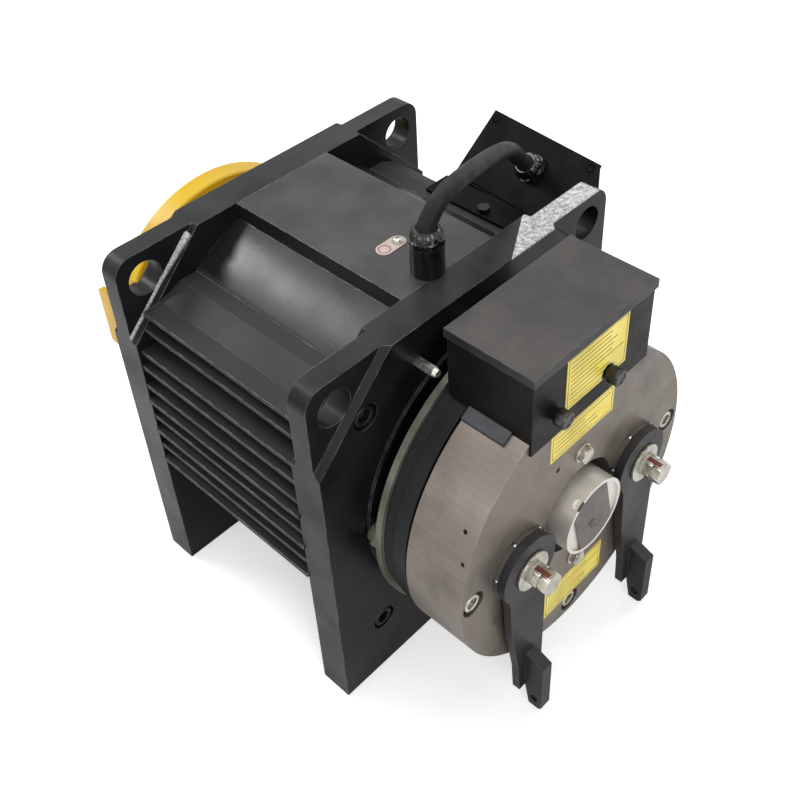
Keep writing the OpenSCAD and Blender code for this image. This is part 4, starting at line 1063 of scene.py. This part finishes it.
@dataclass(frozen=True)
class Glands:
    """Two cable glands with hexagons, ribbed domes and rubber inserts."""

    cable_r: float = 9.4
    nut_h: float = 18.0
    hex_r: float = 19.0

    def nut(self) -> Shape:
        """Dome nut with moulded ribs, its foot at the origin."""
        flat = self.hex_r * math.cos(math.pi / 6)
        bore = self.cable_r + 0.9
        return stacked([
            Level(0, 13.1), Level(0, flat * 0.98), Level(0.6, flat, HEX, self.hex_r * 0.97),
            Level(6.6, flat, HEX, self.hex_r * 0.97), Level(7.6, flat * 0.98), Level(8.4, 16.4),
            Level(9.2, 16.6, RIB), Level(12.5, 15.8, RIB), Level(15.5, 14.2, RIB),
            Level(self.nut_h - 0.9, 12.9), Level(self.nut_h - 0.2, 12.0), Level(self.nut_h - 0.2, bore + 0.4),
            Level(self.nut_h - 1, bore), Level(12, bore), Level(12, 13.1), Level(0, 13.1)], ring=True)

    def insert(self) -> Shape:
        """Rubber lip that grips the cable at the mouth of the nut."""
        r = self.cable_r + 0.02
        top = self.nut_h
        return stacked([Level(top - 5, r), Level(top - 5, r + 0.8), Level(top - 0.6, r + 0.8),
                        Level(top + 0.3, r + 0.5),
                        Level(top + 0.5, r + 0.2), Level(top + 0.4, r), Level(top - 5, r)], ring=True)

    def build(self, along: Sequence[Vector]) -> None:
        """Makes nuts and inserts on the two ends of the cable.

        Args:
            along: points on the cable, whose two ends lie on the axes of the glands.
        """
        boxes = solids("gland_nuts")
        ends = ((along[0], (along[1] - along[0]).normalized()),
                (along[-1], (along[-2] - along[-1]).normalized()))
        matrices = []
        for start, axis in ends:
            box = min(boxes, key=lambda b: (b.centre - start).length)
            middle = start + axis * (box.centre - start).dot(axis)
            matrices.append(facing(axis, middle - axis * self.nut_h / 2 * MM))
        piece("gland_dome_nuts", copies(self.nut(), matrices), PLASTIC, "gland_nuts")
        piece("gland_inserts", copies(self.insert(), matrices), RUBBER, "gland_nuts", stands_in=False)


@dataclass(frozen=True)
class EarthTag:
    """Printed two-lobed tag under an earth screw on the rail."""

    lobe_r: float = 9.0
    spacing: float = 19.0
    ring_r: float = 5.6

    def build(self) -> None:
        """Makes the tag, its printed ring and the cross-recess screw."""
        box = node_box("earth_tag")
        bottom = box.high.z - 5.1 * MM
        middle = Vector((box.low.x + self.lobe_r * MM, box.centre.y, bottom))
        bm = bmesh.new()
        verts = bmesh.ops.create_circle(bm, cap_ends=True, segments=64, radius=self.lobe_r * MM)["verts"]
        bmesh.ops.translate(bm, vec=Vector((self.spacing * MM, 0, 0)),
                            verts=[v for v in verts if v.co.x > 1e-6])
        raised = bmesh.ops.extrude_face_region(bm, geom=bm.faces[:])["geom"]
        bmesh.ops.translate(bm, vec=Vector((0, 0, 1 * MM)),
                            verts=[v for v in raised if isinstance(v, bmesh.types.BMVert)])
        bmesh.ops.translate(bm, vec=middle, verts=bm.verts)
        piece("earth_tag_plate", bm, TAG, "earth_tag")
        ring = stacked([Level(0.9, self.ring_r), Level(1.1, self.ring_r), Level(1.1, self.ring_r + 1.0),
                        Level(0.9, self.ring_r + 1.0), Level(0.9, self.ring_r)], ring=True)
        far = middle + Vector((self.spacing * MM, 0, 0))
        piece("earth_tag_ring", copies(ring, [Matrix.Translation(middle)]), PRINT, "earth_tag",
              stands_in=False)
        screw = stacked([Level(-11, 2.5), Level(1, 2.5), Level(1, 6.4), Level(2.1, 6.4), Level(2.2, 4.9),
                         Level(2.6, 5.2),
                         Level(3.6, 4.9), Level(4.6, 3.9), Level(5.1, 2.6), Level(5.1, 0.3)])
        obj = piece("earth_tag_screw", copies(screw, [Matrix.Translation(far)]), ZINC, "earth_tag",
                    stands_in=False)
        cross = bmesh.new()
        for turn in (0.3, 0.3 + math.pi / 2):
            bar = block(Vector((5.6, 0.95, 4)) * MM, Vector((0, 0, 5.2 * MM)))
            copies(bar, [Matrix.Translation(far) @ Matrix.Rotation(turn, 4, "Z")], cross)
        cut(obj, cross)
        smooth(obj.data)


@dataclass(frozen=True)
class SpringPacks:
    """Packs of disc springs between the magnet body and the armature plate."""

    def build(self) -> None:
        """Makes the packs as one piece from the CAD springs, left where they stand and tied to no body."""
        box = node_box("brake_springs")
        bm = bmesh.new()
        bm.from_mesh(frame["nodes"]["brake_springs"].data)
        bmesh.ops.remove_doubles(bm, verts=bm.verts, dist=1e-6)
        near, far = Vector((0, box.low.y, SHAFT_Z)), Vector((0, box.high.y, SHAFT_Z))
        piece("brake_spring_packs", bm, SPRINGS, "brake_springs",
              span=Span(BODY_OF["armature_plate"], near, far))


@dataclass(frozen=True)
class Painter:
    """Gives every CAD node that stays in view its finish. A row holds a finish and the nodes that have it."""

    finishes: tuple[tuple[Finish, str], ...] = (
        (NEAR_ENAMEL, "near_plate"),
        (FAR_ENAMEL, "far_plate"),
        (ENAMEL, "far_bearing_cover"),
        (CAST, "stator_shell"),
        (CORE, "stator_core"),
        (COPPER, "stator_windings brake_coil"),
        (OXIDE, "near_circlip sheave_bolts sheave_retainer tie_screws far_frame_screws bracket_screws"),
        (ZINC, "clip_post far_cover_screws brake_screws face_screws release_bolts release_nuts"),
        (YELLOW_ZINC, "brake_spacers friction_flange"),
        (GROUND, "bearing_outer_rings bearing_inner_rings bearing_balls release_balls"),
        (STEEL, "shaft shaft_keys friction_hub"),
        (IRON, "rotor_hub"),
        (MAGNET, "rotor_magnets"),
        (TAG, "earth_tag"),
        (PLASTIC, "gland_bodies gland_nuts thumb_screws"),
        (JACKET, "cable"),
        (MATT_SHEET, "terminal_box terminal_lid terminal_bracket terminal_lid_screws"),
        (SHEET, "brake_box_cover brake_box_tray"),
        (LID_SHEET, "brake_box_lid"),
        (BLOCK, "terminal_block brake_rectifier"),
        (RUBBER, "dust_ring"),
        (YOKE, "magnet_body"),
        (SPRINGS, "brake_springs"),
        (SEAL, "brake_box_seal"),
        (LINING, "friction_disc"),
        (CAP, "shaft_cap"),
        (PANEL, "cap_panel"),
        (RING, "release_rings"),
        (ARMATURE, "armature_plate"),
        (LEVER, "lever_left lever_right"))

    def made_to_measure(self) -> tuple[tuple[Finish, str], ...]:
        """Finishes that need a measure of the model: the sheave's grooves and the labels' windows.

        Returns:
            Each finish with its nodes.
        """
        rim = node_box("sheave")
        paint = YellowPaint("yellow_gloss_paint", "#e2b90c", "#cf9f08", (0.25, 0.42), grain=3.0, relief=0.05,
                            edge=1.2,
                            edge_glint_and_wear="#8a7a4a", edge_glint_and_wear_share=0.4, dust="#8d7c46", dust_and_sheen_share=0.15,
                            grooves=(rim.low.y + 3 * MM, rim.high.y - 30 * MM))
        found = [(paint, "sheave rope_guard")]
        for node in ("face_labels", "box_label"):
            windows = tuple((box.low.x, box.low.z, box.high.x, box.high.z) for box in solids(node))
            film = FilmLabel("printed_yellow_film_" + node, "#fbe66c", "#dcc64c", (0.3, 0.45), patch=30,
                             grain=0.8,
                             relief=0.01, edge=0.15, windows=windows)
            found.append((film, node))
        return tuple(found)

    def build(self) -> None:
        """Assigns the finishes."""
        done = set()
        for finish, nodes in (*self.finishes, *self.made_to_measure()):
            for node in nodes.split():
                for slot in frame["nodes"][node].material_slots:
                    slot.material = finish.material()
                done.add(node)
        missing = sorted(set(frame["nodes"]) - done)
        if missing:
            raise ValueError(f"no finish for {missing}")
        LOG.info("painted %d nodes", len(done))


@dataclass(frozen=True)
class Studio:
    """Camera, floor, lamps and world of a plain pale studio."""

    place: tuple[float, float, float] = (-0.62911, -0.71223, 1.13271)
    azimuth: float = -45.1153
    elevation: float = 39.9027
    roll: float = -2.4295
    lens: float = 50.138
    shift: tuple[float, float] = (-0.0281, -0.1198)
    floor_half: float = 6.0
    floor_drop: float = 0.0005
    floor_glow: float = 0.45
    lamps: tuple[tuple[str, tuple[float, float, float], float, float], ...] = (
        ("overhead_softbox", (0.1, 0.1, 2.4), 1.8, 22.0),
        ("rear_softbox", (-0.8, 1.9, 2.3), 0.9, 20.0),
        ("front_softbox", (-1.2, -2.4, 1.5), 1.6, 28.0),
        ("left_softbox", (-2.4, 0.2, 1.2), 1.2, 9.0),
        ("right_softbox", (2.2, -0.6, 1.5), 1.2, 10.0))
    ambient: float = 0.45

    def camera(self) -> None:
        """Sets the camera at the calibrated place and angle."""
        az, el, roll = (math.radians(v) for v in (self.azimuth, self.elevation, self.roll))
        back = Vector((math.sin(az) * math.cos(el), -math.cos(az) * math.cos(el), math.sin(el)))
        x = Vector((0, 0, 1)).cross(back).normalized()
        y = back.cross(x)
        right = math.cos(roll) * x + math.sin(roll) * y
        up = -math.sin(roll) * x + math.cos(roll) * y
        data = bpy.data.cameras.new("camera")
        data.lens, data.sensor_width = self.lens, 36.0
        data.shift_x, data.shift_y = self.shift
        data.clip_start, data.clip_end = 0.01, 100
        obj = linked("camera", data)
        obj.matrix_world = Matrix.Translation(self.place) @ Matrix((right, up, back)).transposed().to_4x4()
        bpy.context.scene.camera = obj

    def floor(self) -> None:
        """Lays a pale floor that is a little lighter to the camera and keeps the shadow."""
        bm = bmesh.new()
        bmesh.ops.create_grid(bm, x_segments=2, y_segments=2, size=self.floor_half)
        bmesh.ops.translate(bm, vec=Vector((0, 0, -self.floor_drop)), verts=bm.verts)
        mesh = bpy.data.meshes.new("studio_floor")
        bm.to_mesh(mesh)
        bm.free()
        obj = linked("studio_floor", mesh)
        material = bpy.data.materials.new("pale_floor")
        tree = bare_tree(material)
        seen = add_node(tree, "LightPath").outputs["Is Camera Ray"]
        matt = add_node(tree, "BsdfDiffuse", {"Color": linear("#f4f4f4")}).outputs[0]
        glow = add_node(tree, "Emission", {"Color": (1, 1, 1, 1)},
                        {"Strength": product(tree, seen, self.floor_glow)}).outputs[0]
        both = add_node(tree, "AddShader", {}, {0: matt, 1: glow}).outputs[0]
        add_node(tree, "OutputMaterial", {}, {"Surface": both})
        mesh.materials.append(material)

    def light(self) -> None:
        """Hangs the lamps and makes the world white to the camera, glossy and transmission rays."""
        middle = node_box("stator_shell").centre
        for name, place, width, power in self.lamps:
            data = bpy.data.lights.new(name, "AREA")
            data.shape, data.size, data.energy = "DISK", width, power
            spot = Vector(place)
            linked(name, data).matrix_world = facing((spot - middle).normalized(), spot)
        world = bpy.data.worlds.new("studio")
        bpy.context.scene.world = world
        tree = bare_tree(world)
        path = add_node(tree, "LightPath").outputs
        white = maths(tree, "MAXIMUM", maths(tree, "MAXIMUM", path["Is Camera Ray"], path["Is Glossy Ray"]),
                      path["Is Transmission Ray"])
        strength = ramp(tree, white, 0, 1, self.ambient, 1.0)
        glow = add_node(tree, "Background", {"Color": (1, 1, 1, 1)}, {"Strength": strength}).outputs[0]
        add_node(tree, "OutputWorld", {}, {"Surface": glow})

    def build(self) -> None:
        """Sets up the whole studio and the plain view transform."""
        self.camera()
        self.floor()
        self.light()
        bpy.context.scene.view_settings.view_transform = "Standard"


def main() -> None:
    """Builds the studio, the cable and the sub-assemblies in order."""
    logging.basicConfig(level=logging.INFO, format="%(message)s")
    Studio().build()
    cable = CableRun()
    cable.build()
    Glands().build(cable.points())
    Painter().build()
    for group in (FrameScrews(), ReleaseGear(), FaceScrews(), ThumbScrews(), EarthTag(), SpringPacks()):
        LOG.info("building %s", type(group).__name__)
        group.build()
    bpy.context.view_layer.update()


if __name__ == "__main__":
    main()
